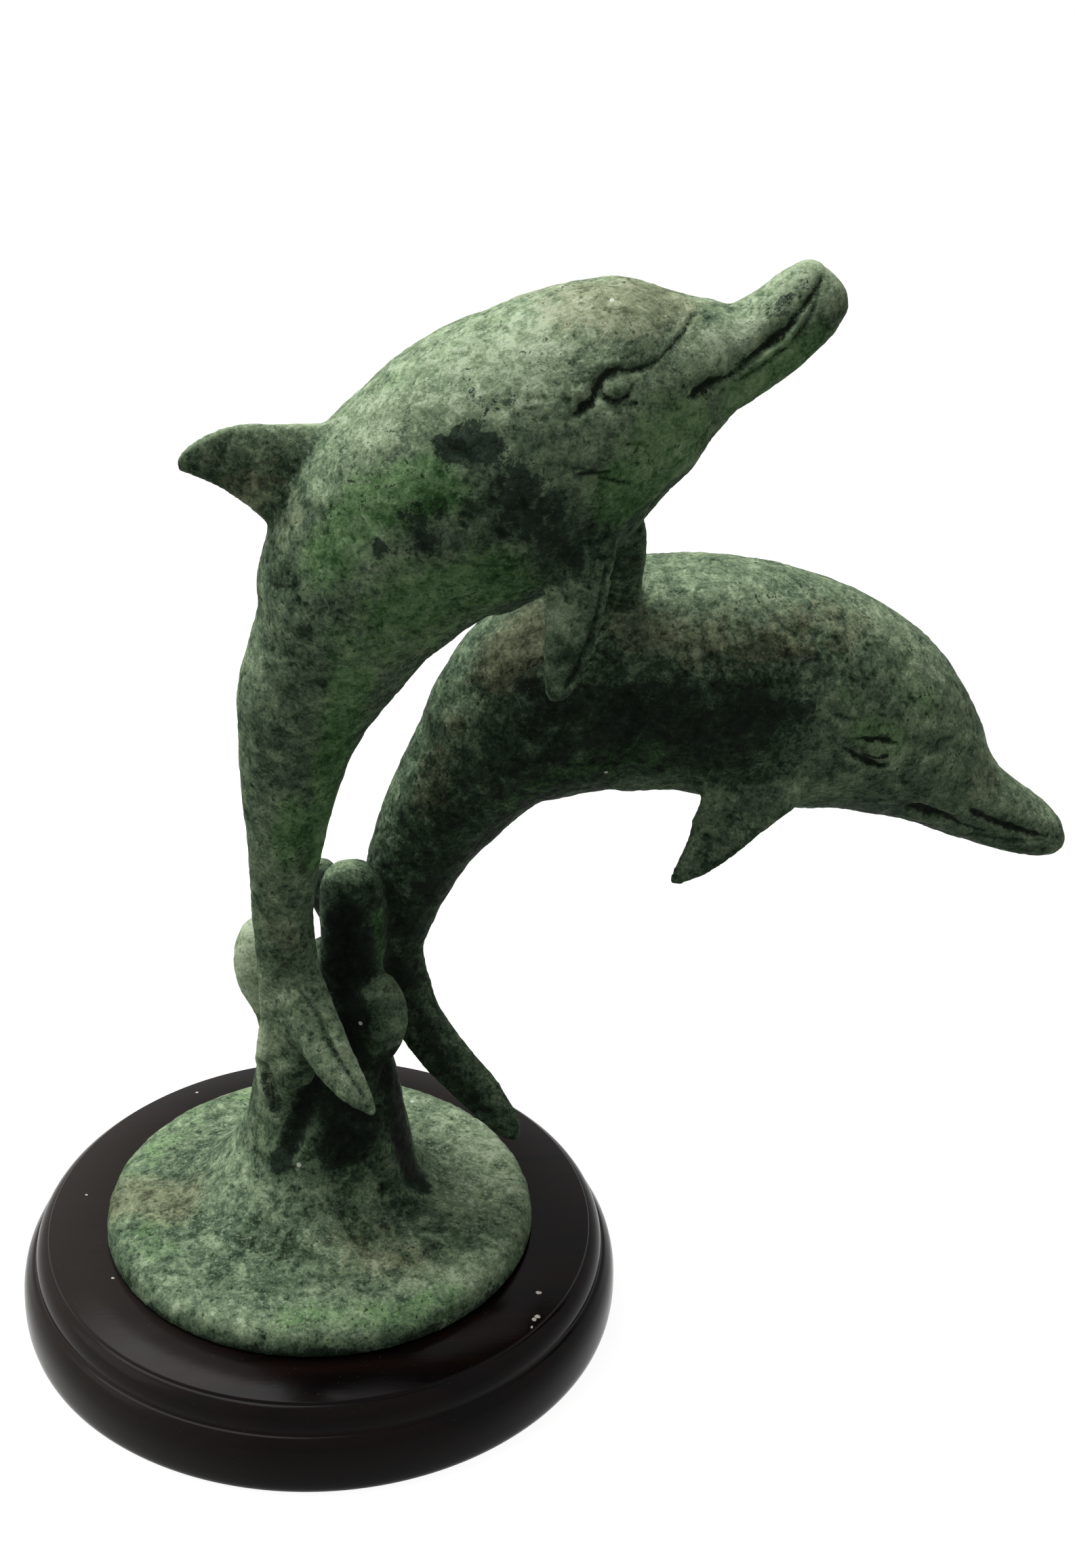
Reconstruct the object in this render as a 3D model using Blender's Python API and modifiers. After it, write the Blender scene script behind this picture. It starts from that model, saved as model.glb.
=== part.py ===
# Dolphin figurine: two leaping dolphins cast in one bronze piece, screwed to a turned wooden plinth.
# All lengths below are in millimetres and are turned to metres as the solids are made.
# The origin is on the plinth's axis at the plane it rests on, +Z up, the dolphins' beaks towards +X.

import math

import bmesh
import bpy
import numpy as np
from mathutils import Matrix, Vector

MM = 0.001
FIT_GAP = 0.3

# Felt pad
PAD_RADIUS = 85.0
PAD_THICKNESS = 1.2

# Turned plinth
PLINTH_FOOT_RADIUS = 89.5
PLINTH_BULGE = 90.6
PLINTH_TOP_RADIUS = 82.0
PLINTH_THICKNESS = 26.4
FILLET_RADIUS = 87.3
FILLET_HEIGHT = 18.0
PAD_STANDS_PROUD = 0.2
OVOLO_RADIUS = 86.2
COUNTERBORE_RADIUS = 12.0
COUNTERBORE_DEPTH = 12.0
PLINTH_STEPS = 80

# Fixing screw and washer
SCREW_RADIUS = 3.0
SCREW_REACH = 13.5
SCREW_HEAD_RADIUS = 6.0
SCREW_HEAD_HEIGHT = 4.0
SLOT_WIDTH = 1.5
SLOT_DEPTH = 2.0
WASHER_RADIUS = 9.0
WASHER_THICKNESS = 1.6
HOLE_DEPTH = 16.0

# Casting
MOUND_RADIUS = 64.7
MOUND_RIM = 5.5
MOUND_SLOPE = ((48.0, 10.0), (39.0, 11.2), (30.0, 12.2), (20.0, 13.0))
SKIN_CELL = 1.35
SMOOTHING_STEPS = 5
CASTING_TRIANGLES = 9400
SECTION_POINTS = 48
SPAN_STEPS = 5

PLINTH_TOP = PAD_STANDS_PROUD + PLINTH_THICKNESS
CASTING_FOOT = PLINTH_TOP + FIT_GAP

# The casting is drawn in sections from its own underside.
# Each section is a centre (x, y, z), half its width across and half its height.

# Upper dolphin, from the tip of the beak to the tail stock
UPPER_BODY = (
    (127.4, -26, 301.2, 4.4, 4.6),
    (126.1, -26, 299.6, 7.0, 7.6),
    (123.9, -26, 296.3, 8.6, 9.5),
    (121.2, -26, 292.9, 9.4, 10.3),
    (115.5, -26, 287.5, 10.0, 10.8),
    (107.5, -26, 282.1, 11.5, 12.0),
    (100.3, -26, 280.0, 14.5, 15.2),
    (93.0, -25.5, 277.6, 18.5, 20.2),
    (87.0, -25, 275.4, 21.5, 25.4),
    (78.0, -24.5, 271.8, 25.0, 28.7),
    (68.2, -24, 266.5, 28.0, 31.8),
    (58.0, -23, 259.0, 30.5, 34.8),
    (46.0, -22, 251.0, 31.5, 35.9),
    (36.0, -21, 243.5, 31.0, 34.6),
    (27.5, -20, 237.0, 29.5, 32.8),
    (19.0, -19, 226.5, 27.5, 29.8),
    (12.0, -18, 214.5, 25.0, 26.6),
    (7.8, -17, 204.0, 22.5, 22.6),
    (2.8, -16.5, 193.5, 19.5, 20.3),
    (-1.0, -16, 184.5, 17.0, 18.8),
    (-4.0, -15, 172.0, 14.5, 15.9),
    (-6.0, -14, 158.5, 12.0, 13.7),
    (-7.5, -13, 141.5, 9.5, 10.9),
    (-9.0, -12, 116.5, 7.5, 8.7),
    (-8.0, -12, 99.0, 7.5, 8.6),
    (-8.0, -12, 88.0, 5.0, 7.5),
)
UPPER_DORSAL = (
    (2.0, -19, 245.0, 18.0, 5.5),
    (-4.0, -19, 247.5, 15.0, 4.5),
    (-12.0, -18.5, 250.2, 11.6, 3.4),
    (-17.5, -18, 251.3, 10.0, 2.8),
    (-23.5, -18, 251.5, 7.3, 2.2),
    (-29.0, -18, 250.6, 4.4, 1.7),
    (-32.3, -18, 249.0, 1.5, 1.0),
)
UPPER_NEAR_FLIPPER = (
    (68.0, -36, 247.0, 9.0, 8.0),
    (67.6, -40, 240.0, 9.6, 6.0),
    (66.0, -45, 232.0, 8.8, 4.2),
    (64.6, -50, 222.5, 7.5, 3.2),
    (63.2, -52.5, 214.0, 6.4, 2.8),
    (61.8, -54, 207.6, 5.2, 2.4),
    (60.7, -55, 203.4, 3.8, 2.0),
    (60.1, -55.3, 200.8, 1.7, 1.3),
)
UPPER_FAR_FLIPPER = (
    (72.0, -8, 240.0, 10.0, 4.5),
    (78.0, -2, 229.0, 10.0, 4.5),
    (81.5, 3, 219.0, 9.5, 4.0),
    (82.5, 6, 210.5, 8.8, 3.6),
    (83.0, 10, 200.5, 7.5, 3.2),
    (83.0, 14, 192.0, 6.0, 3.0),
)
UPPER_RIGHT_FLUKE = (
    (-9.0, -12, 114.0, 4.5, 4.5),
    (-8.4, -12.2, 106.0, 6.8, 6.4),
    (-6.8, -13.6, 97.0, 8.0, 5.9),
    (-2.5, -20, 88.0, 8.0, 4.8),
    (4.0, -29, 77.5, 6.8, 4.0),
    (10.5, -35.5, 70.5, 4.7, 3.0),
    (16.0, -40, 65.5, 1.5, 1.2),
)
UPPER_LEFT_FLUKE = (
    (-9.0, -12, 112.0, 4.5, 4.5),
    (-8.6, -12.4, 104.0, 7.0, 6.0),
    (-8.6, -13, 95.0, 8.0, 5.6),
    (-9.0, -13.5, 82.0, 7.4, 5.0),
    (-12.0, -14, 68.0, 6.0, 4.8),
    (-13.0, -15, 57.0, 4.4, 4.4),
    (-12.0, -15, 47.0, 2.5, 3.5),
)
UPPER_FLUKE_WEB = (
    (-7.0, -12, 99.0, 8.0, 6.0),
    (-5.0, -16, 88.0, 8.0, 5.0),
    (-3.5, -18, 79.0, 7.0, 4.4),
    (-4.5, -17, 70.0, 5.5, 4.4),
    (-6.0, -15, 61.0, 4.0, 4.0),
)

# Lower dolphin, from the tip of the beak to the tail stock
LOWER_BODY = (
    (225.2, 26, 115.4, 4.5, 3.4),
    (223.0, 26, 115.0, 8.0, 6.2),
    (219.0, 26, 115.3, 9.5, 7.9),
    (211.5, 26, 118.3, 10.5, 9.9),
    (202.5, 26, 123.0, 11.5, 11.5),
    (194.0, 26, 128.0, 13.5, 13.5),
    (187.2, 26, 133.6, 16.5, 16.5),
    (180.6, 26, 139.8, 19.5, 20.9),
    (172.0, 26, 146.8, 23.0, 25.5),
    (161.5, 26, 154.1, 27.0, 30.1),
    (150.5, 26, 159.2, 30.0, 32.8),
    (138.0, 25, 164.1, 32.0, 34.3),
    (125.0, 25, 167.2, 32.5, 35.4),
    (111.5, 24, 170.3, 32.5, 34.9),
    (100.5, 24, 170.9, 32.0, 34.3),
    (87.0, 24, 170.1, 31.0, 34.1),
    (76.0, 23, 168.0, 29.5, 33.0),
    (65.0, 23, 161.6, 27.5, 30.3),
    (54.2, 22, 152.8, 24.0, 25.1),
    (47.6, 21, 145.0, 20.5, 20.6),
    (38.9, 20, 132.6, 17.5, 17.6),
    (31.8, 20, 119.6, 14.5, 14.9),
    (26.5, 19, 105.3, 12.0, 12.6),
    (23.3, 18, 89.0, 9.5, 9.4),
    (24.0, 17, 79.0, 8.5, 8.4),
    (26.0, 16, 71.0, 6.0, 6.5),
)
LOWER_DORSAL = (
    (74.0, 24, 192.0, 16.0, 5.5),
    (66.0, 24, 202.0, 12.5, 4.2),
    (58.5, 24, 209.0, 9.5, 3.0),
    (52.0, 24, 213.0, 7.0, 2.4),
    (46.0, 24, 215.0, 4.0, 1.6),
    (42.0, 24, 215.5, 1.0, 0.8),
)
LOWER_NEAR_FLIPPER = (
    (131.0, 8.5, 159.0, 14.0, 9.5),
    (127.6, 3.6, 151.5, 14.8, 7.2),
    (122.8, -0.6, 145.6, 13.6, 5.0),
    (115.5, -7, 139.0, 10.2, 3.8),
    (110.0, -11, 133.0, 7.0, 2.9),
    (103.5, -14, 127.0, 3.8, 2.0),
    (98.5, -15, 123.5, 1.1, 1.0),
)
LOWER_FAR_FLIPPER = (
    (131.0, 40.5, 159.0, 14.0, 9.5),
    (127.6, 45.4, 151.5, 14.8, 7.2),
    (122.8, 49.6, 145.6, 13.6, 5.0),
    (115.5, 56, 139.0, 10.2, 3.8),
    (110.0, 60, 133.0, 7.0, 2.9),
    (103.5, 63, 127.0, 3.8, 2.0),
    (98.5, 64, 123.5, 1.1, 1.0),
)
LOWER_RIGHT_FLUKE = (
    (23.6, 17.6, 92.0, 5.0, 5.0),
    (24.4, 17, 83.5, 7.4, 6.8),
    (26.2, 15.7, 74.5, 7.7, 5.8),
    (30.0, 12, 63.0, 7.8, 4.8),
    (38.5, 6, 52.5, 7.5, 4.0),
    (49.0, -1, 43.0, 6.7, 3.2),
    (56.6, -6.8, 35.3, 4.6, 2.4),
    (59.4, -8.5, 32.2, 1.8, 1.5),
)
LOWER_LEFT_FLUKE = (
    (24.2, 17.8, 91.0, 5.0, 5.0),
    (23.6, 18.6, 83.0, 8.0, 6.8),
    (19.6, 22, 73.5, 8.3, 5.6),
    (11.0, 29, 62.0, 7.5, 4.6),
    (2.0, 35, 51.0, 6.0, 4.0),
    (-6.0, 40, 42.0, 3.0, 3.0),
)

# Mound, stem and the lobes of spray between the tails
STEM = (
    (-2.0, 3, 7.5, 48.0, 46.0),
    (-2.5, 3.5, 11.5, 38.0, 36.0),
    (-1.8, 4.5, 16.0, 31.8, 29.0),
    (0.1, 5.5, 21.5, 28.4, 25.0),
    (1.8, 6, 28.5, 25.6, 21.5),
    (2.3, 5, 39.0, 23.1, 18.5),
    (2.4, 4.5, 51.0, 21.1, 16.0),
    (2.0, 4.5, 63.0, 18.0, 14.0),
    (2.0, 6, 75.0, 14.0, 11.0),
    (3.0, 7.5, 84.0, 11.5, 9.0),
    (4.5, 8.5, 91.0, 8.5, 7.0),
)
TALL_LOBE = (
    (9.0, 6, 121.0, 2.0, 2.0),
    (9.5, 6, 118.0, 7.0, 6.5),
    (10.5, 6.5, 111.0, 9.3, 8.0),
    (11.0, 7, 101.0, 9.8, 8.3),
    (11.0, 7, 91.0, 9.5, 8.0),
    (10.0, 7, 81.0, 8.0, 7.0),
    (9.0, 7, 71.0, 8.0, 7.0),
    (8.0, 7, 61.0, 9.0, 8.0),
)
LOW_LOBE = (
    (17.0, 3, 85.0, 5.0, 5.0),
    (17.0, 0, 79.0, 8.5, 7.5),
    (17.0, -1, 72.0, 9.8, 8.0),
    (16.5, -1, 65.0, 8.5, 7.5),
    (15.0, -2, 57.0, 5.5, 5.5),
    (14.0, 0, 49.0, 4.5, 5.0),
    (13.0, 3, 41.0, 5.0, 5.0),
)
LEFT_LOBE = (
    (-14.0, 8, 101.0, 2.0, 2.0),
    (-15.0, 8, 98.0, 6.0, 6.0),
    (-15.5, 8, 92.0, 8.0, 8.0),
    (-15.5, 8, 86.0, 8.4, 8.5),
    (-15.0, 8, 79.0, 7.5, 8.0),
    (-13.0, 8, 71.0, 5.5, 7.0),
    (-11.0, 7, 63.0, 6.0, 8.0),
)
BACK_LOBE = (
    (3.0, 17, 116.0, 2.0, 2.0),
    (2.5, 17, 110.0, 5.5, 5.5),
    (3.2, 16.5, 104.5, 5.0, 5.2),
    (5.0, 15.5, 98.5, 4.4, 5.0),
    (8.5, 14, 92.0, 4.0, 5.0),
    (12.0, 12, 85.0, 5.0, 5.0),
)

# Lines pressed into both flanks of each head, drawn in side view (x, z)
UPPER_EYE = (73.5, 279.0)
UPPER_BROW = ((64.0, 274.5), (68.0, 281.5), (75.0, 284.0), (81.0, 283.5), (86.5, 287.0), (90.5, 291.0))
UPPER_MOUTH = ((95.0, 274.5), (102.0, 278.5), (108.5, 284.0), (114.5, 289.5), (120.0, 295.5), (124.0, 300.5))
LOWER_EYE = (156.5, 156.5)
LOWER_BROW = ((147.0, 154.0), (151.5, 161.0), (158.5, 162.5), (166.0, 159.5), (176.0, 156.0), (184.0, 153.0))
LOWER_MOUTH = ((171.5, 134.5), (182.0, 128.5), (192.5, 124.0), (204.0, 120.5), (214.0, 118.0), (220.0, 117.5))
EYE_RADIUS = 3.0
SOCKET_RADIUS = 5.2
EYE_RELIEF = 0.9
MOUTH_WIDTH = 2.2
MOUTH_DEPTH = 1.5
BROW_WIDTH = 2.4
BROW_DEPTH = 1.1

ACROSS = (0, -1, 0)
CHORD_UP = (0, 0, 1)
CHORD_ALONG = (1, 0, 0.3)
CHORD_SLANTED = (0.75, 0, 0.65)
CHORD_FALLING = (0.8, 0, -0.5)


def clear_scene():
    for item in list(bpy.data.objects):
        bpy.data.objects.remove(item, do_unlink=True)


def new_collection(name, hidden):
    group = bpy.data.collections.new(name)
    bpy.context.scene.collection.children.link(group)
    group.hide_render = hidden
    return group


def new_material(name, colour, metallic, roughness):
    material = bpy.data.materials.new(name)
    material.use_nodes = True
    shader = material.node_tree.nodes["Principled BSDF"]
    shader.inputs["Base Color"].default_value = (*colour, 1.0)
    shader.inputs["Metallic"].default_value = metallic
    shader.inputs["Roughness"].default_value = roughness
    material.diffuse_color = (*colour, 1.0)
    return material


def new_object(name, mesh, group, material=None):
    item = bpy.data.objects.new(name, mesh)
    group.objects.link(item)
    if material:
        mesh.materials.append(material)
    return item


def flowing(sections):
    """Run a smooth curve through the sections and sample it between them."""
    rows = np.array(sections, dtype=float)
    ends = np.vstack([2 * rows[0] - rows[1], rows, 2 * rows[-1] - rows[-2]])
    sampled = []
    for i in range(1, len(ends) - 2):
        before, start, stop, after = ends[i - 1:i + 3]
        for step in range(SPAN_STEPS):
            t = step / SPAN_STEPS
            sampled.append(0.5 * (
                2 * start
                + (stop - before) * t
                + (2 * before - 5 * start + 4 * stop - after) * t ** 2
                + (3 * start - before - 3 * stop + after) * t ** 3
            ))
    sampled.append(rows[-1])
    return np.array(sampled)


def add_loft(shape, sections, wide_direction, level=False):
    """Bridge elliptical rings that stand square to the curve through the sections, or lie level."""
    rows = flowing(sections)
    tangents = np.gradient(rows[:, :3], axis=0)
    wide = Vector(wide_direction)
    loops = []
    for row, tangent in zip(rows, tangents):
        along = Vector((0, 0, 1)) if level else Vector(tangent).normalized()
        side = (wide - along * wide.dot(along)).normalized()
        up = along.cross(side)
        turn = Matrix((side * abs(row[3]), up * abs(row[4]), along)).transposed().to_4x4()
        place = Matrix.Translation(Vector(row[:3])) @ turn
        ring = bmesh.ops.create_circle(shape, segments=SECTION_POINTS, radius=1.0, matrix=place)
        loops.append(list({edge for point in ring["verts"] for edge in point.link_edges}))
    for first, second in zip(loops, loops[1:]):
        bmesh.ops.bridge_loops(shape, edges=first + second)
    bmesh.ops.contextual_create(shape, geom=loops[0])
    bmesh.ops.contextual_create(shape, geom=loops[-1])


def add_mound(shape):
    """Low round mound: a flat-sided rim, then a shallow cone that sweeps up to the stem."""
    profile = (
        (MOUND_RADIUS, -6.0),
        (MOUND_RADIUS, MOUND_RIM - 3.0),
        (MOUND_RADIUS - 0.9, MOUND_RIM),
        (MOUND_RADIUS - 3.2, MOUND_RIM + 2.1),
        (MOUND_RADIUS - 7.7, MOUND_RIM + 3.3),
    ) + MOUND_SLOPE
    loops = []
    for radius, height in profile:
        ring = bmesh.ops.create_circle(
            shape,
            segments=2 * SECTION_POINTS,
            radius=radius,
            matrix=Matrix.Translation((0, 0, height)),
        )
        loops.append(list({edge for point in ring["verts"] for edge in point.link_edges}))
    for first, second in zip(loops, loops[1:]):
        bmesh.ops.bridge_loops(shape, edges=first + second)
    bmesh.ops.contextual_create(shape, geom=loops[0])
    bmesh.ops.contextual_create(shape, geom=loops[-1])


def distance_to_line(places, line):
    """Distance of each point from a broken line, all in side view."""
    nearest = np.full(len(places), 1e9)
    for start, stop in zip(line, line[1:]):
        start = np.array(start)
        leg = np.array(stop) - start
        share = np.clip((places - start) @ leg / (leg @ leg), 0.0, 1.0)
        gap = np.linalg.norm(places - start - share[:, None] * leg, axis=1)
        nearest = np.minimum(nearest, gap)
    return nearest


def carve_heads(mesh):
    """Press the mouths, brows and eyes into the skin along its own normals."""
    places = np.array([point.co for point in mesh.vertices])
    normals = np.array([point.normal for point in mesh.vertices])
    side_view = places[:, [0, 2]] / MM
    facing = np.clip(np.abs(normals[:, 1]) * 2.5 - 0.8, 0.0, 1.0)
    sink = np.zeros(len(places))
    for line, width, depth in (
        (UPPER_MOUTH, MOUTH_WIDTH, MOUTH_DEPTH),
        (LOWER_MOUTH, MOUTH_WIDTH, MOUTH_DEPTH),
        (UPPER_BROW, BROW_WIDTH, BROW_DEPTH),
        (LOWER_BROW, BROW_WIDTH, BROW_DEPTH),
    ):
        near = np.clip(1.0 - (distance_to_line(side_view, line) / width) ** 2, 0.0, 1.0)
        sink = np.maximum(sink, depth * near)
    for eye in (UPPER_EYE, LOWER_EYE):
        reach = np.linalg.norm(side_view - np.array(eye), axis=1)
        socket = np.clip(1.0 - (reach / SOCKET_RADIUS) ** 4, 0.0, 1.0)
        ball = np.clip(1.0 - (reach / EYE_RADIUS) ** 2, 0.0, 1.0)
        sink = np.where(reach < SOCKET_RADIUS, EYE_RELIEF * (socket - 1.6 * ball), sink)
    places -= normals * (sink * facing * MM)[:, None]
    mesh.vertices.foreach_set("co", places.ravel())
    mesh.update()


def finished_mesh(item):
    graph = bpy.context.evaluated_depsgraph_get()
    return bpy.data.meshes.new_from_object(item.evaluated_get(graph))


def revolved(name, profile, steps, group, material=None):
    """Turn a half profile, given as (radius, height) up its outer side, about the plinth's axis."""
    mesh = bpy.data.meshes.new(name)
    closed = profile[0] == profile[-1]
    points = list(reversed(profile[1:] if closed else profile))
    joins = [(i, i + 1) for i in range(len(points) - 1)]
    if closed:
        joins.append((len(points) - 1, 0))
    mesh.from_pydata([(radius * MM, 0, height * MM) for radius, height in points], joins, [])
    item = new_object(name, mesh, group, material)
    turn = item.modifiers.new("turn", "SCREW")
    turn.axis = "Z"
    turn.angle = 2 * math.pi
    turn.steps = steps
    turn.render_steps = steps
    turn.use_merge_vertices = True
    turn.merge_threshold = 0.00001
    turn.use_smooth_shade = True
    return item


def cut(item, cutter):
    modifier = item.modifiers.new("cut " + cutter.name, "BOOLEAN")
    modifier.operation = "DIFFERENCE"
    modifier.solver = "EXACT"
    modifier.object = cutter


def build_casting(group, cutters, material):
    shape = bmesh.new()
    add_mound(shape)
    add_loft(shape, STEM, (1, 0, 0), level=True)
    for sections, wide in (
        (TALL_LOBE, (1, 0, 0)),
        (LOW_LOBE, (1, 0, 0)),
        (LEFT_LOBE, (1, 0, 0)),
        (BACK_LOBE, (1, 0, 0)),
        (UPPER_BODY, ACROSS),
        (UPPER_DORSAL, CHORD_UP),
        (UPPER_NEAR_FLIPPER, CHORD_ALONG),
        (UPPER_FAR_FLIPPER, CHORD_ALONG),
        (UPPER_RIGHT_FLUKE, CHORD_SLANTED),
        (UPPER_LEFT_FLUKE, (1, 0, 0)),
        (UPPER_FLUKE_WEB, CHORD_ALONG),
        (LOWER_BODY, ACROSS),
        (LOWER_DORSAL, CHORD_SLANTED),
        (LOWER_NEAR_FLIPPER, CHORD_ALONG),
        (LOWER_FAR_FLIPPER, CHORD_ALONG),
        (LOWER_RIGHT_FLUKE, CHORD_SLANTED),
        (LOWER_LEFT_FLUKE, CHORD_FALLING),
    ):
        add_loft(shape, sections, wide)
    bmesh.ops.scale(shape, vec=(MM, MM, MM), verts=shape.verts)
    bmesh.ops.recalc_face_normals(shape, faces=shape.faces)
    mesh = bpy.data.meshes.new("dolphin_casting")
    shape.to_mesh(mesh)
    shape.free()

    casting = new_object("dolphin_casting", mesh, group, material)
    skin = casting.modifiers.new("one skin", "REMESH")
    skin.mode = "VOXEL"
    skin.voxel_size = SKIN_CELL * MM
    blend = casting.modifiers.new("blend", "SMOOTH")
    blend.factor = 0.5
    blend.iterations = SMOOTHING_STEPS
    blended = finished_mesh(casting)
    carve_heads(blended)
    casting.modifiers.clear()
    casting.data = blended
    casting.location.z = CASTING_FOOT * MM

    blended.calc_loop_triangles()
    thin = casting.modifiers.new("even skin", "DECIMATE")
    thin.ratio = CASTING_TRIANGLES / len(blended.loop_triangles)
    thin.use_collapse_triangulate = True
    for face in blended.polygons:
        face.use_smooth = True

    bed = revolved(
        "flat_bed",
        ((0, -20.0), (MOUND_RADIUS + 10.0, -20.0), (MOUND_RADIUS + 10.0, 0.0), (0, 0.0)),
        32,
        cutters,
    )
    bed.location.z = CASTING_FOOT * MM
    cut(casting, bed)
    hole = revolved(
        "screw_hole",
        (
            (0, -10.0),
            (SCREW_RADIUS + FIT_GAP, -10.0),
            (SCREW_RADIUS + FIT_GAP, HOLE_DEPTH - 1.5),
            (0, HOLE_DEPTH),
        ),
        24,
        cutters,
    )
    hole.location.z = CASTING_FOOT * MM
    cut(casting, hole)
    return casting


def build_plinth(group, material):
    """Turned plinth: bulging wall, fillet, ledge, ovolo and a crisp flat top, bored from below."""
    top = PLINTH_THICKNESS
    fillet = FILLET_HEIGHT
    bore = SCREW_RADIUS + FIT_GAP
    recess = PAD_THICKNESS + FIT_GAP - PAD_STANDS_PROUD
    profile = (
        (COUNTERBORE_RADIUS, recess),
        (PAD_RADIUS + FIT_GAP, recess),
        (PAD_RADIUS + FIT_GAP, 0.0),
        (PLINTH_FOOT_RADIUS, 0.0),
        (PLINTH_FOOT_RADIUS + 0.6, 0.8),
        (PLINTH_BULGE, 6.0),
        (PLINTH_BULGE - 0.2, 10.5),
        (PLINTH_BULGE - 1.1, 14.5),
        (FILLET_RADIUS + 0.8, fillet - 1.2),
        (FILLET_RADIUS, fillet),
        (OVOLO_RADIUS + 0.5, fillet + 0.2),
        (OVOLO_RADIUS, fillet + 0.6),
        (OVOLO_RADIUS, fillet + 2.0),
        (OVOLO_RADIUS - 0.4, fillet + 3.8),
        (OVOLO_RADIUS - 1.2, fillet + 5.4),
        (OVOLO_RADIUS - 2.3, fillet + 6.7),
        (OVOLO_RADIUS - 3.5, top - 0.9),
        (PLINTH_TOP_RADIUS + 0.4, top - 0.8),
        (PLINTH_TOP_RADIUS + 0.3, top - 0.3),
        (PLINTH_TOP_RADIUS, top),
        (bore, top),
        (bore, COUNTERBORE_DEPTH),
        (COUNTERBORE_RADIUS, COUNTERBORE_DEPTH),
        (COUNTERBORE_RADIUS, recess),
    )
    plinth = revolved("wooden_plinth", profile, PLINTH_STEPS, group, material)
    plinth.location.z = PAD_STANDS_PROUD * MM
    return plinth


def build_fixing(group, cutters, screw_steel, washer_steel):
    ceiling = PAD_STANDS_PROUD + COUNTERBORE_DEPTH
    washer_top = ceiling - FIT_GAP
    washer_foot = washer_top - WASHER_THICKNESS
    revolved(
        "screw_washer",
        (
            (SCREW_RADIUS + FIT_GAP, washer_foot),
            (WASHER_RADIUS, washer_foot),
            (WASHER_RADIUS, washer_top),
            (SCREW_RADIUS + FIT_GAP, washer_top),
            (SCREW_RADIUS + FIT_GAP, washer_foot),
        ),
        48,
        group,
        washer_steel,
    )
    head_top = washer_foot - FIT_GAP
    head_foot = head_top - SCREW_HEAD_HEIGHT
    screw = revolved(
        "fixing_screw",
        (
            (0, head_foot),
            (SCREW_HEAD_RADIUS - 1.2, head_foot),
            (SCREW_HEAD_RADIUS - 0.2, head_foot + 0.8),
            (SCREW_HEAD_RADIUS, head_foot + 1.8),
            (SCREW_HEAD_RADIUS, head_top),
            (SCREW_RADIUS, head_top),
            (SCREW_RADIUS, CASTING_FOOT + SCREW_REACH - 1.0),
            (SCREW_RADIUS - 1.0, CASTING_FOOT + SCREW_REACH),
            (0, CASTING_FOOT + SCREW_REACH),
        ),
        32,
        group,
        screw_steel,
    )
    slot_mesh = bpy.data.meshes.new("driver_slot")
    slot_shape = bmesh.new()
    bmesh.ops.create_cube(slot_shape, size=MM)
    bmesh.ops.scale(slot_shape, vec=(4 * SCREW_HEAD_RADIUS, SLOT_WIDTH, 2 * SLOT_DEPTH), verts=slot_shape.verts)
    slot_shape.to_mesh(slot_mesh)
    slot_shape.free()
    slot = new_object("driver_slot", slot_mesh, cutters)
    slot.location.z = head_foot * MM
    cut(screw, slot)


def build_pad(group, material):
    revolved(
        "felt_pad",
        ((0, 0), (PAD_RADIUS, 0), (PAD_RADIUS, PAD_THICKNESS), (0, PAD_THICKNESS)),
        64,
        group,
        material,
    )


def main():
    clear_scene()
    group = new_collection("dolphin_figurine", False)
    cutters = new_collection("cutters", True)
    bronze = new_material("verdigris bronze", (0.085, 0.125, 0.085), 0.35, 0.72)
    wood = new_material("lacquered mahogany", (0.012, 0.007, 0.006), 0.0, 0.32)
    screw_steel = new_material("zinc plated screw", (0.55, 0.56, 0.58), 1.0, 0.35)
    washer_steel = new_material("zinc plated washer", (0.50, 0.51, 0.53), 1.0, 0.42)
    felt = new_material("black felt", (0.010, 0.010, 0.011), 0.0, 0.95)
    build_casting(group, cutters, bronze)
    build_plinth(group, wood)
    build_fixing(group, cutters, screw_steel, washer_steel)
    build_pad(group, felt)
    for cutter in cutters.objects:
        cutter.display_type = "WIRE"
        cutter.hide_render = True


main()
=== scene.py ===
import bmesh
import bpy
import math
import numpy as np
from mathutils import Matrix, Vector, noise
from mathutils.bvhtree import BVHTree


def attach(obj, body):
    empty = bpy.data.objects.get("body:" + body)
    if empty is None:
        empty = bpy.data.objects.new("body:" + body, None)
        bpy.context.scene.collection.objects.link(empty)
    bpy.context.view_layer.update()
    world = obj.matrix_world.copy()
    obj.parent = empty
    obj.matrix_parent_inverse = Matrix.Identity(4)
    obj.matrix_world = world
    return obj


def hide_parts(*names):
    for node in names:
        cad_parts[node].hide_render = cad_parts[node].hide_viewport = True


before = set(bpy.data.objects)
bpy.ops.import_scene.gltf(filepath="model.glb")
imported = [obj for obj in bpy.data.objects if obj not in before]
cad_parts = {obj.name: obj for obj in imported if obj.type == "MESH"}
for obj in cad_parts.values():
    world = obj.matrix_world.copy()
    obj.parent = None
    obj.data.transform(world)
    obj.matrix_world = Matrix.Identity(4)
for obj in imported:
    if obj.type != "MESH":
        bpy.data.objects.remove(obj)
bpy.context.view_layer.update()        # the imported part: bodies, nodes, joints, record
print("frame loaded", sorted(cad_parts))

mm = 0.001


def hexColour(code):
    # sRGB hex to linear RGBA
    parts = [int(code[i:i + 2], 16) / 255 for i in (1, 3, 5)]
    return tuple(c / 12.92 if c <= 0.04045 else ((c + 0.055) / 1.055) ** 2.4 for c in parts) + (1.0,)


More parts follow.
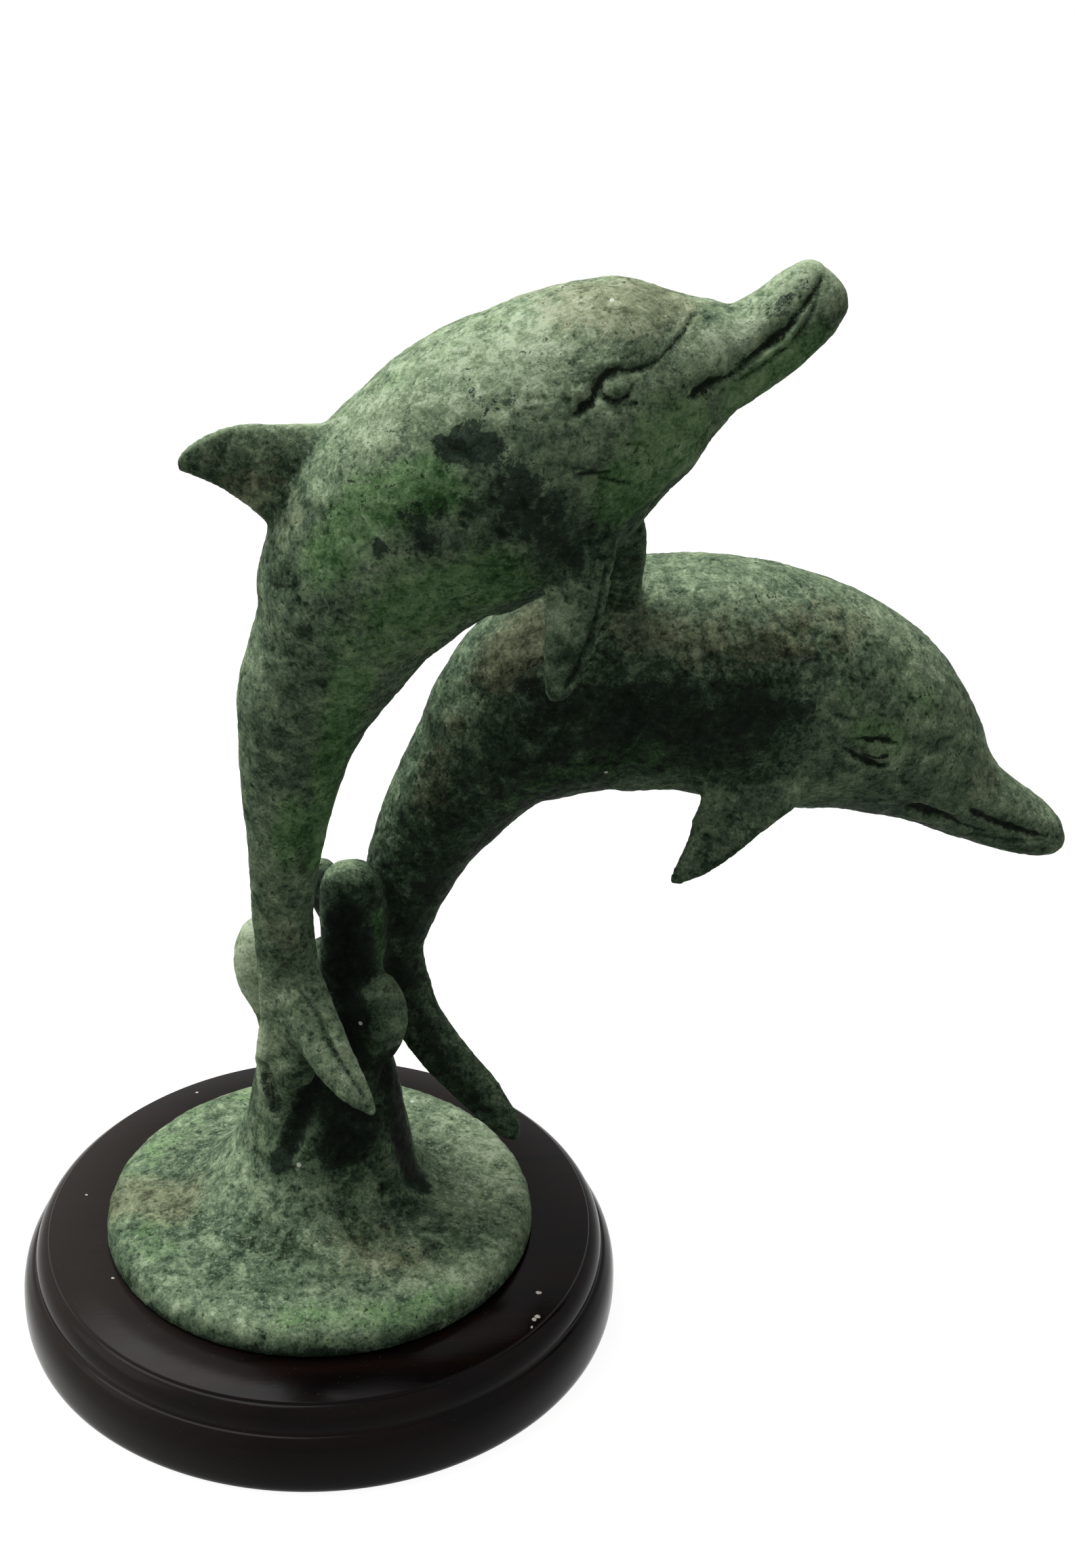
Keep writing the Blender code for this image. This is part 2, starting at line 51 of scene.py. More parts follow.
def addNode(tree, kind, settings=None, links=None, stops=None):
    # one node with its settings, its links (from a node's first output, or from the socket given) and its ramp's stops
    node = tree.nodes.new("ShaderNode" + kind)
    for key, value in (settings or {}).items():
        if isinstance(key, str) and key in node.bl_rna.properties:
            setattr(node, key, value)
        else:
            node.inputs[key].default_value = hexColour(value) if isinstance(value, str) else value
    for key, source in (links or {}).items():
        tree.links.new(getattr(source, "outputs", [source])[0], node.inputs[key])
    if stops:
        ramp = node.color_ramp.elements
        while len(ramp) < len(stops):
            ramp.new(0.5)
        for element, (place, colour) in zip(ramp, stops):
            element.position = place
            element.color = hexColour(colour)
    return node


def newMaterial(name):
    material = bpy.data.materials.new(name)
    material.use_nodes = True
    return material, material.node_tree, material.node_tree.nodes["Principled BSDF"]


def placesOf(mesh):
    # vertex places in millimetres
    flat = np.empty(len(mesh.vertices) * 3)
    mesh.vertices.foreach_get("co", flat)
    return flat.reshape(-1, 3) / mm


def normalsOf(mesh):
    flat = np.empty(len(mesh.vertices) * 3)
    mesh.vertices.foreach_get("normal", flat)
    return flat.reshape(-1, 3)


def movePlaces(mesh, places):
    mesh.vertices.foreach_set("co", (places * mm).ravel())
    mesh.update()


def lineField(places, line):
    # distance from a broken line, how far along it in points, and the side it lies on
    nearest = np.full(len(places), 1e9)
    along = np.zeros(len(places))
    side = np.zeros(len(places))
    for i in range(len(line) - 1):
        start, stop = np.array(line[i], float), np.array(line[i + 1], float)
        leg = stop - start
        share = np.clip((places - start) @ leg / (leg @ leg), 0, 1)
        offset = places - start - share[:, None] * leg
        gap = np.linalg.norm(offset, axis=1)
        closer = gap < nearest
        nearest[closer] = gap[closer]
        along[closer] = i + share[closer]
        if places.shape[1] == 2:
            side[closer] = np.sign(leg[0] * offset[closer, 1] - leg[1] * offset[closer, 0])
    return nearest, along, side


def softHill(gap, reach):
    # 1 at the middle, falling smoothly to 0 at the reach
    return np.clip(1 - (gap / reach) ** 2, 0, 1) ** 2


def noiseAt(places, size):
    # soft noise of one size in millimetres, about -1 to 1
    return np.array([noise.noise(place) for place in (places / size).tolist()])


def neighboursOf(mesh):
    pairs = np.empty(len(mesh.edges) * 2, dtype=np.int64)
    mesh.edges.foreach_get("vertices", pairs)
    pairs = pairs.reshape(-1, 2)
    ends = np.concatenate((pairs[:, 0], pairs[:, 1]))
    others = np.concatenate((pairs[:, 1], pairs[:, 0]))
    return ends, others, np.maximum(np.bincount(ends, minlength=len(mesh.vertices)), 1)


def calmed(values, neighbours, rounds, share=0.5):
    # values drawn towards their neighbours' mean, a number of times; share may differ from point to point
    ends, others, counts = neighbours
    share = np.broadcast_to(share, len(counts))
    columns = []
    for column in values.reshape(len(counts), -1).T:
        for step in range(rounds):
            mean = np.bincount(ends, column[others], len(counts)) / counts
            column = column + (mean - column) * share
        columns.append(column)
    return np.stack(columns, axis=1).reshape(values.shape)


# The camera stands at the photograph's viewing angle
cameraFit = dict(place=(0, -577.89, 486.36), pan=6.187, pitch=28.165, roll=1.784, lens=54.11)


def addCamera():
    pan, pitch, roll = (math.radians(cameraFit[key]) for key in ("pan", "pitch", "roll"))
    ahead = Vector((math.sin(pan) * math.cos(pitch), math.cos(pan) * math.cos(pitch), -math.sin(pitch)))
    level = Vector((math.cos(pan), -math.sin(pan), 0))
    upright = level.cross(ahead)
    right = math.cos(roll) * level + math.sin(roll) * upright
    top = math.cos(roll) * upright - math.sin(roll) * level
    lensData = bpy.data.cameras.new("photoCamera")
    lensData.lens = cameraFit["lens"]
    lensData.sensor_width = 36
    lensData.sensor_fit = "AUTO"
    lensData.clip_start = 0.01
    camera = bpy.data.objects.new("photoCamera", lensData)
    bpy.context.scene.collection.objects.link(camera)
    turn = Matrix((right, top, -ahead)).transposed().to_4x4()
    camera.matrix_world = Matrix.Translation(Vector(cameraFit["place"]) * mm) @ turn
    bpy.context.scene.camera = camera


addCamera()
print("camera set")


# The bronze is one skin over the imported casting, worked up with the marks of the modelling tool and of age
casting = dict(
    skinCell=0.8,            # mm between points while the skin is worked
    triangles=192000,        # kept in the finished skin
    lumps=0.20,              # mm, slow unevenness left by the sand mould
    flake=0.17,              # mm, how far the mineral crust stands up
    pit=0.28,                # mm, depth of the corroded pits
    ragged=0.55,             # mm, how far the pressed lines wander
    bed=26.9,                # mm above the table, the flat bed under the mound
    crustFrom=28.5,          # mm above the table, where lumps, crust and pits begin
    bore=3.3,                # mm, radius of the screw's hole
    boreSearch=(5.5, 44.0),  # mm, radius and height within which a point belongs to that hole
)

# Lines pressed into both sides of the heads, in side view (x, z).
# Each: points, half widths along it, depth, height of the bank on its upper side and on its lower side
headLines = {
    "upperCrease": (((63.0, 301.0), (65.2, 302.2), (67.3, 303.7), (68.8, 306.2), (69.3, 308.4), (71.0, 309.7),
                     (73.9, 310.3), (76.9, 310.2), (79.6, 310.4), (81.5, 311.3), (83.5, 312.2), (86.3, 313.9),
                     (88.3, 315.4), (90.4, 317.3), (92.6, 319.1), (94.1, 320.0)),
                    (0.9, 1.9, 1.8, 1.4, 1.3, 1.2, 0.9, 1.0, 1.0, 0.9, 0.7, 0.6, 0.6, 0.6, 0.7, 0.5), 1.2, 0.8, 0.0),
    "upperMouth": (((92.0, 302.6), (93.6, 303.7), (96.4, 305.0), (99.2, 305.9), (102.1, 306.8), (104.8, 308.4),
                    (107.4, 310.2), (109.9, 312.4), (112.9, 314.2), (115.8, 316.8), (117.4, 319.3), (119.5, 321.9),
                    (122.6, 325.6), (124.5, 328.6)),
                   (1.4, 2.2, 2.0, 1.3, 1.0, 0.9, 1.1, 1.4, 1.7, 1.5, 1.2, 1.1, 0.9, 0.6), 1.7, 0.35, 0.55),
    "upperLip": (((104.5, 304.9), (107.0, 306.3), (109.4, 307.8), (112.3, 309.6), (114.8, 311.4), (117.0, 313.7),
                  (119.3, 317.1), (121.0, 319.7), (122.4, 322.6), (123.4, 325.2)),
                 (0.5, 0.7, 0.8, 0.9, 0.9, 0.9, 0.9, 0.8, 0.7, 0.5), 0.75, 0.45, 0.1),
    "lowerMouth": (((171.8, 160.6), (173.4, 160.3), (176.5, 158.9), (180.1, 157.3), (184.0, 155.6), (188.4, 152.4),
                    (192.6, 150.3), (197.8, 148.0)),
                   (1.1, 2.1, 2.3, 2.1, 1.5, 0.9, 0.7, 0.5), 1.9, 0.45, 0.5),
    "lowerUpperLip": (((191.2, 157.6), (193.2, 156.0), (197.0, 153.7), (201.2, 151.0), (205.4, 149.2),
                       (209.5, 147.7), (213.8, 145.6), (218.0, 144.6)),
                      (0.7, 1.6, 1.4, 1.6, 1.6, 1.4, 1.1, 0.6), 1.3, 0.3, 0.4),
    "lowerLip": (((195.5, 147.0), (201.5, 145.2), (206.8, 144.2), (211.8, 143.9), (217.5, 143.6)),
                 (0.5, 0.8, 0.9, 0.8, 0.5), 0.6, 0.1, 0.1),
    "lowerBrow": (((151.5, 189.6), (154.5, 188.5), (157.9, 188.0), (161.6, 186.8), (164.0, 185.8)),
                  (0.7, 1.3, 1.3, 1.2, 0.6), 1.1, 0.5, 0.0),
    "lowerCheek": (((143.0, 198.2), (146.0, 197.2), (149.8, 195.9)), (0.7, 1.5, 0.9), 0.7, 0.0, 0.3),
    "lowerUnderEye": (((147.8, 187.3), (150.0, 185.3), (152.8, 183.2), (156.2, 180.5), (159.8, 179.1), (162.0, 179.4)),
                      (0.6, 1.1, 1.4, 1.5, 1.2, 0.6), 1.1, 0.0, 0.35),
    "lowerJaw": (((164.8, 172.8), (167.5, 172.0), (171.2, 171.2)), (0.7, 1.3, 0.8), 0.6, 0.0, 0.3),
    "lowerMelonEdge": (((170.0, 186.0), (176.0, 182.0), (183.0, 177.0), (190.0, 171.5), (195.0, 168.8)),
                       (1.6, 2.6, 3.0, 2.8, 2.0), 0.35, 0.3, 0.0),
}

# Eyes, in side view: centre, half length, half height, tilt in degrees, bulge, depth of the hollow under it
eyes = {
    "upperEye": ((73.4, 306.5), 2.9, 2.0, 10, 0.75, 0.9),
    "lowerEye": ((157.6, 184.3), 2.8, 1.6, -20, 0.6, 0.5),
}

# The frame's own brow lines, calmed before the finer ones are pressed in
coarseLines = (
    ((64.0, 301.4), (68.0, 308.4), (75.0, 310.9), (81.0, 310.4), (86.5, 313.9), (90.5, 317.9)),
    ((95.0, 301.4), (108.5, 310.9), (124.0, 327.4)),
    ((147.0, 180.9), (151.5, 187.9), (158.5, 189.4), (166.0, 186.4), (176.0, 182.9), (184.0, 179.9)),
    ((171.5, 161.4), (192.5, 150.9), (220.0, 144.4)),
)

# Joints of fins and bodies that are dressed smooth: points in space, reach
blends = (
    (((106.0, 1.5, 171.5), (112.7, -1.5, 174.6), (126.4, -4.6, 178.1), (137.7, -5.1, 179.8),
      (144.0, -4.0, 180.0)), 9.0),
    (((106.0, 48.0, 171.5), (112.7, 51.0, 174.6), (126.4, 54.0, 178.1), (144.0, 53.0, 180.0)), 9.0),
    (((53.5, -45.0, 256.0), (57.4, -46.7, 256.1), (59.5, -47.6, 259.5), (65.2, -47.5, 263.9),
      (75.2, -44.6, 269.0)), 7.0),
    (((-11.0, -19.3, 112.7), (-10.1, -19.6, 120.0), (-7.9, -19.7, 124.2), (-5.0, -19.1, 127.1),
      (-0.4, -15.8, 127.8)), 7.0),
    (((26.4, 9.6, 99.6), (29.0, 10.6, 103.4), (31.8, 12.9, 105.8)), 7.0),
    (((-12.8, -18.9, 82.0), (-11.5, -18.0, 75.4), (-8.9, -9.1, 77.3)), 7.0),
    (((-30.0, -14.0, 46.0), (-14.4, -19.0, 50.0), (1.5, -24.0, 50.0), (24.0, -18.0, 46.0), (33.0, 0.0, 42.0)), 12.0),
)

# Marks on one side only: points in space, half width, depth (below 0 raises), how dark it is
surfaceMarks = (
    (((0.2, -25.2, 117.0), (2.5, -29.0, 111.6), (5.0, -31.9, 107.6)), 1.1, 0.9, 1.0),
    (((-5.5, -20.5, 123.4), (-2.4, -23.0, 120.0), (0.2, -25.2, 117.0)), 0.7, 0.3, 0.5),
    (((5.0, -31.9, 107.6), (8.2, -35.0, 103.6), (12.0, -38.2, 98.6)), 0.9, 0.35, 0.5),
    (((2.5, -24.5, 121.0), (5.2, -29.5, 113.4), (8.0, -33.2, 108.0), (11.8, -37.0, 102.0)), 1.8, -0.5, 0.0),
    (((72.9, -48.0, 260.8), (71.4, -50.7, 254.4), (70.4, -52.3, 249.7), (68.4, -54.1, 244.0), (66.8, -55.2, 240.1),
      (65.0, -55.9, 236.0), (62.9, -56.6, 233.0)), 0.8, 0.85, 1.0),
    (((73.4, -48.3, 257.0), (71.9, -51.2, 250.6), (70.2, -53.4, 244.6), (68.6, -54.3, 240.0), (66.6, -55.6, 235.4),
      (63.9, -56.8, 231.4)), 0.9, -0.65, 0.0),
    (((63.8, -52.5, 286.5), (68.0, -51.6, 286.9), (72.0, -50.7, 286.5)), 0.7, 0.45, 0.9),
    (((69.7, -51.2, 285.6), (74.0, -49.6, 284.0), (77.6, -48.0, 282.8)), 0.6, 0.4, 0.8),
    (((75.4, -50.0, 293.2), (80.0, -48.6, 292.9)), 0.7, 0.4, 0.7),
    (((63.0, -52.5, 288.6), (68.2, -51.7, 287.4)), 0.5, 0.35, 0.8),
    (((-10.0, -28.9, 249.8), (-6.5, -33.5, 250.6), (-3.6, -36.9, 252.0)), 0.7, 0.35, 0.6),
    (((62.0, -24.5, 324.0), (66.5, -25.5, 324.2)), 1.6, 0.5, 0.2),
    (((50.6, -27.0, 321.0), (52.0, -28.0, 321.3)), 1.0, 0.4, 0.3),
    (((47.7, -32.9, 316.8), (48.3, -34.2, 315.6)), 0.9, 0.4, 0.4),
    (((45.9, -53.1, 272.8), (47.2, -53.1, 271.6)), 1.1, 0.6, 0.9),
    (((76.0, -48.0, 300.5), (77.0, -47.8, 299.2)), 0.9, 0.4, 0.6),
    (((75.0, -49.3, 303.0), (77.6, -48.3, 303.0)), 1.0, 0.4, 0.8),
)

# Hollows and folds of the spray under the tails: points, reach, depth (below 0 raises)
folds = (
    (((-16.4, -17.3, 92.5), (-14.3, -18.7, 87.0), (-13.2, -18.9, 80.5)), 4.6, 3.6),
    (((-21.5, -9.0, 95.0), (-20.0, -13.0, 82.0), (-21.0, -12.0, 68.0)), 4.5, -1.6),
    (((-9.3, -19.6, 95.0), (-8.6, -19.2, 86.0), (-8.8, -17.0, 74.0), (-11.0, -15.0, 62.0)), 4.5, -1.8),
    (((-2.8, -11.5, 80.0), (-5.5, -11.5, 72.0), (-9.0, -12.5, 62.0)), 5.0, 2.2),
    (((0.4, -10.6, 84.1), (4.4, -11.3, 79.5), (7.4, -11.5, 75.7), (12.6, -10.8, 71.2)), 4.5, 1.8),
    (((6.0, -13.5, 66.0), (7.0, -17.5, 55.0), (9.0, -24.0, 46.0)), 7.0, 1.6),
    (((14.0, -9.0, 66.0), (19.0, -9.5, 55.0), (25.0, -13.0, 46.0)), 6.0, -1.8),
    (((-16.0, -13.0, 60.0), (-22.0, -18.0, 50.0), (-32.0, -24.0, 42.0)), 8.0, -1.2),
    (((18.6, -3.0, 86.0), (18.2, -3.0, 80.0)), 5.0, 1.4),
)


def skinOverFrame():
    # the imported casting, merged, rounded off and given one even skin; returned with the frame's surface
    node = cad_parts["dolphin_casting"]
    shape = bmesh.new()
    shape.from_mesh(node.data)
    bmesh.ops.remove_doubles(shape, verts=shape.verts, dist=0.00002)
    surface = BVHTree.FromBMesh(shape)
    crease = shape.edges.layers.float.get("crease_edge") or shape.edges.layers.float.new("crease_edge")
    for edge in shape.edges:
        if edge.calc_face_angle(0) > math.radians(55) and edge.verts[0].co.z < 45 * mm:
            edge[crease] = 1.0      # the flat bed and the screw hole stay crisp
    mesh = bpy.data.meshes.new("bronzeDolphins")
    shape.to_mesh(mesh)
    shape.free()
    piece = bpy.data.objects.new("bronzeDolphins", mesh)
    bpy.context.scene.collection.objects.link(piece)
    rounded = piece.modifiers.new("rounded", "SUBSURF")
    rounded.levels = rounded.render_levels = 2
    skin = piece.modifiers.new("skin", "REMESH")
    skin.mode = "VOXEL"
    skin.voxel_size = casting["skinCell"] * mm
    calm = piece.modifiers.new("calm", "SMOOTH")
    calm.factor = 0.5
    calm.iterations = 5
    applyModifiers(piece)
    piece.data.materials.clear()
    return piece, surface


def applyModifiers(piece):
    finished = bpy.data.meshes.new_from_object(piece.evaluated_get(bpy.context.evaluated_depsgraph_get()))
    piece.modifiers.clear()
    piece.data = finished


def letOut(mesh, surface, neighbours):
    # rounding draws the skin inwards, so it is let out again to the frame's surface, evenly
    for turn in range(2):
        places, normals = placesOf(mesh), normalsOf(mesh)
        nearest = np.array([surface.find_nearest(place)[0] for place in (places * mm).tolist()]) / mm
        gap = np.clip(np.einsum("ij,ij->i", nearest - places, normals), -2, 2)
        movePlaces(mesh, places + normals * calmed(gap, neighbours, 18)[:, None])


def dressJoints(mesh, neighbours):
    # the joints of fins and bodies, and the frame's coarse face lines, are filed smooth
    places = placesOf(mesh)
    share = np.zeros(len(places))
    for line, reach in blends:
        share = np.maximum(share, softHill(lineField(places, line)[0], reach))
    sideways = np.clip(np.abs(normalsOf(mesh)[:, 1]) * 1.8 - 0.5, 0, 1)     # the heads' outlines stay
    for line in coarseLines:
        share = np.maximum(share, 0.8 * sideways * softHill(lineField(places[:, [0, 2]], line)[0], 7.0))
    movePlaces(mesh, calmed(places, neighbours, 45, 0.5 * share))


def sculptForms(mesh):
    # the folds and hollows of the spray
    places, normals = placesOf(mesh), normalsOf(mesh)
    shift = np.zeros(len(places))
    for line, reach, depth in folds:
        shift -= depth * softHill(lineField(places, line)[0], reach)
    movePlaces(mesh, places + normals * shift[:, None])


def headField(places, normals):
    # how far the mouths, creases and eyes move each point out along its normal, and how dark they leave it
    view = places[:, [0, 2]].copy()
    wander = np.array([noise.noise_vector(place) for place in (places / 2.6).tolist()])
    wander += 0.6 * np.array([noise.noise_vector(place) for place in (places / 1.2).tolist()])
    view += casting["ragged"] * wander[:, [0, 2]]
    facing = np.clip(np.abs(normals[:, 1]) * 2.2, 0, 1)
    shift = np.zeros(len(places))
    dark = np.zeros(len(places))
    for line, widths, depth, upperBank, lowerBank in headLines.values():
        gap, along, side = lineField(view, line)
        width = np.interp(along, range(len(line)), widths)
        groove = softHill(gap, width * 1.2)
        fade = np.clip(width / max(widths), 0, 1)
        bankHeight = np.where(side > 0, upperBank, lowerBank)
        shift += bankHeight * fade * np.exp(-((gap - width * 1.9) / (width * 0.9)) ** 2) - depth * groove * fade
        # the grooves' darkness: dark patina in them, and painted groove shade
        dark = np.maximum(dark, groove * (0.4 + 0.6 * fade) * min(1, depth / 1.1) ** 1.5)
    for centre, length, height, tilt, bulge, hollow in eyes.values():
        turn = math.radians(tilt)
        offset = view - np.array(centre)
        across = (offset[:, 0] * math.cos(turn) + offset[:, 1] * math.sin(turn)) / length
        upwards = (-offset[:, 0] * math.sin(turn) + offset[:, 1] * math.cos(turn)) / height
        reach = np.maximum(np.hypot(across, upwards), 0.001)
        below = 0.3 + 0.7 * np.clip(0.3 - upwards / reach, 0, 1)
        ring = np.exp(-((reach - 1.3) / 0.38) ** 2) * below
        ball = np.sqrt(np.clip(1 - (reach / 1.2) ** 2, 0, 1))
        shift = np.where(reach < 2.2, shift * np.clip((reach - 0.8) / 1.0, 0.1, 1), shift)
        shift = shift + bulge * ball - hollow * ring
        dark = np.where(reach < 1.15, dark * np.clip((reach - 0.7) / 0.4, 0, 1), dark)
        # the ring under the eye goes dark: patina in its hollow, and painted shade
        dark = np.maximum(dark, ring * 0.8)
    return shift * facing, dark * facing


def markField(places):
    # the single marks: how far they sink each point, and how dark they leave it
    sink = np.zeros(len(places))
    dark = np.zeros(len(places))
    for line, width, depth, shade in surfaceMarks:
        mark = softHill(lineField(places, line)[0], width * 1.4)
        sink += depth * mark
        # the sunk marks' darkness: dark patina in them, and painted shade
        dark = np.maximum(dark, shade * mark)
    return sink, dark


def crustField(places):
    # 1 on the raised flakes of mineral crust, 0 on the bare skin between
    return np.clip((noiseAt(places, 4.2) + 0.7 * noiseAt(places + 50, 1.9) + 0.02) * 3.2, 0, 1)


def pitField(places):
    # 1 at the bottom of a pit; the pits come in swarms
    swarm = np.clip((noiseAt(places + 90, 13.0) + 0.5 * noiseAt(places, 5.0) - 0.02) * 4, 0, 1)
    bent = places + 1.1 * np.array([noise.noise_vector(place) for place in (places / 1.9).tolist()])
    cell = np.array([noise.voronoi(place)[0][0] for place in (bent / 3.1).tolist()])
    return swarm * np.clip((0.36 - cell) / 0.22, 0, 1)


def roughen(mesh):
    # mould lumps, crust and pits, kept off the bed and out of the screw hole
    places, normals = placesOf(mesh), normalsOf(mesh)
    rise = casting["lumps"] * noiseAt(places, 9)
    rise = rise + casting["flake"] * (crustField(places) - 0.5) - casting["pit"] * pitField(places)
    foot = np.clip((places[:, 2] - casting["crustFrom"]) / 2, 0, 1)
    places = places + normals * (rise * foot)[:, None]
    places[:, 2] = np.maximum(places[:, 2], casting["bed"])
    searchRadius, searchHeight = casting["boreSearch"]
    boreWall = (np.hypot(places[:, 0], places[:, 1]) < searchRadius) & (places[:, 2] < searchHeight)
    radius = np.maximum(np.hypot(places[boreWall, 0], places[boreWall, 1]), 0.01)
    places[boreWall, :2] *= (np.maximum(radius, casting["bore"]) / radius)[:, None]
    movePlaces(mesh, places)


def thinOut(piece):
    # fewer, larger faces where the skin is plain
    thin = piece.modifiers.new("thin", "DECIMATE")
    thin.ratio = min(1, casting["triangles"] / (2 * len(piece.data.polygons)))
    thin.use_collapse_triangulate = True
    applyModifiers(piece)


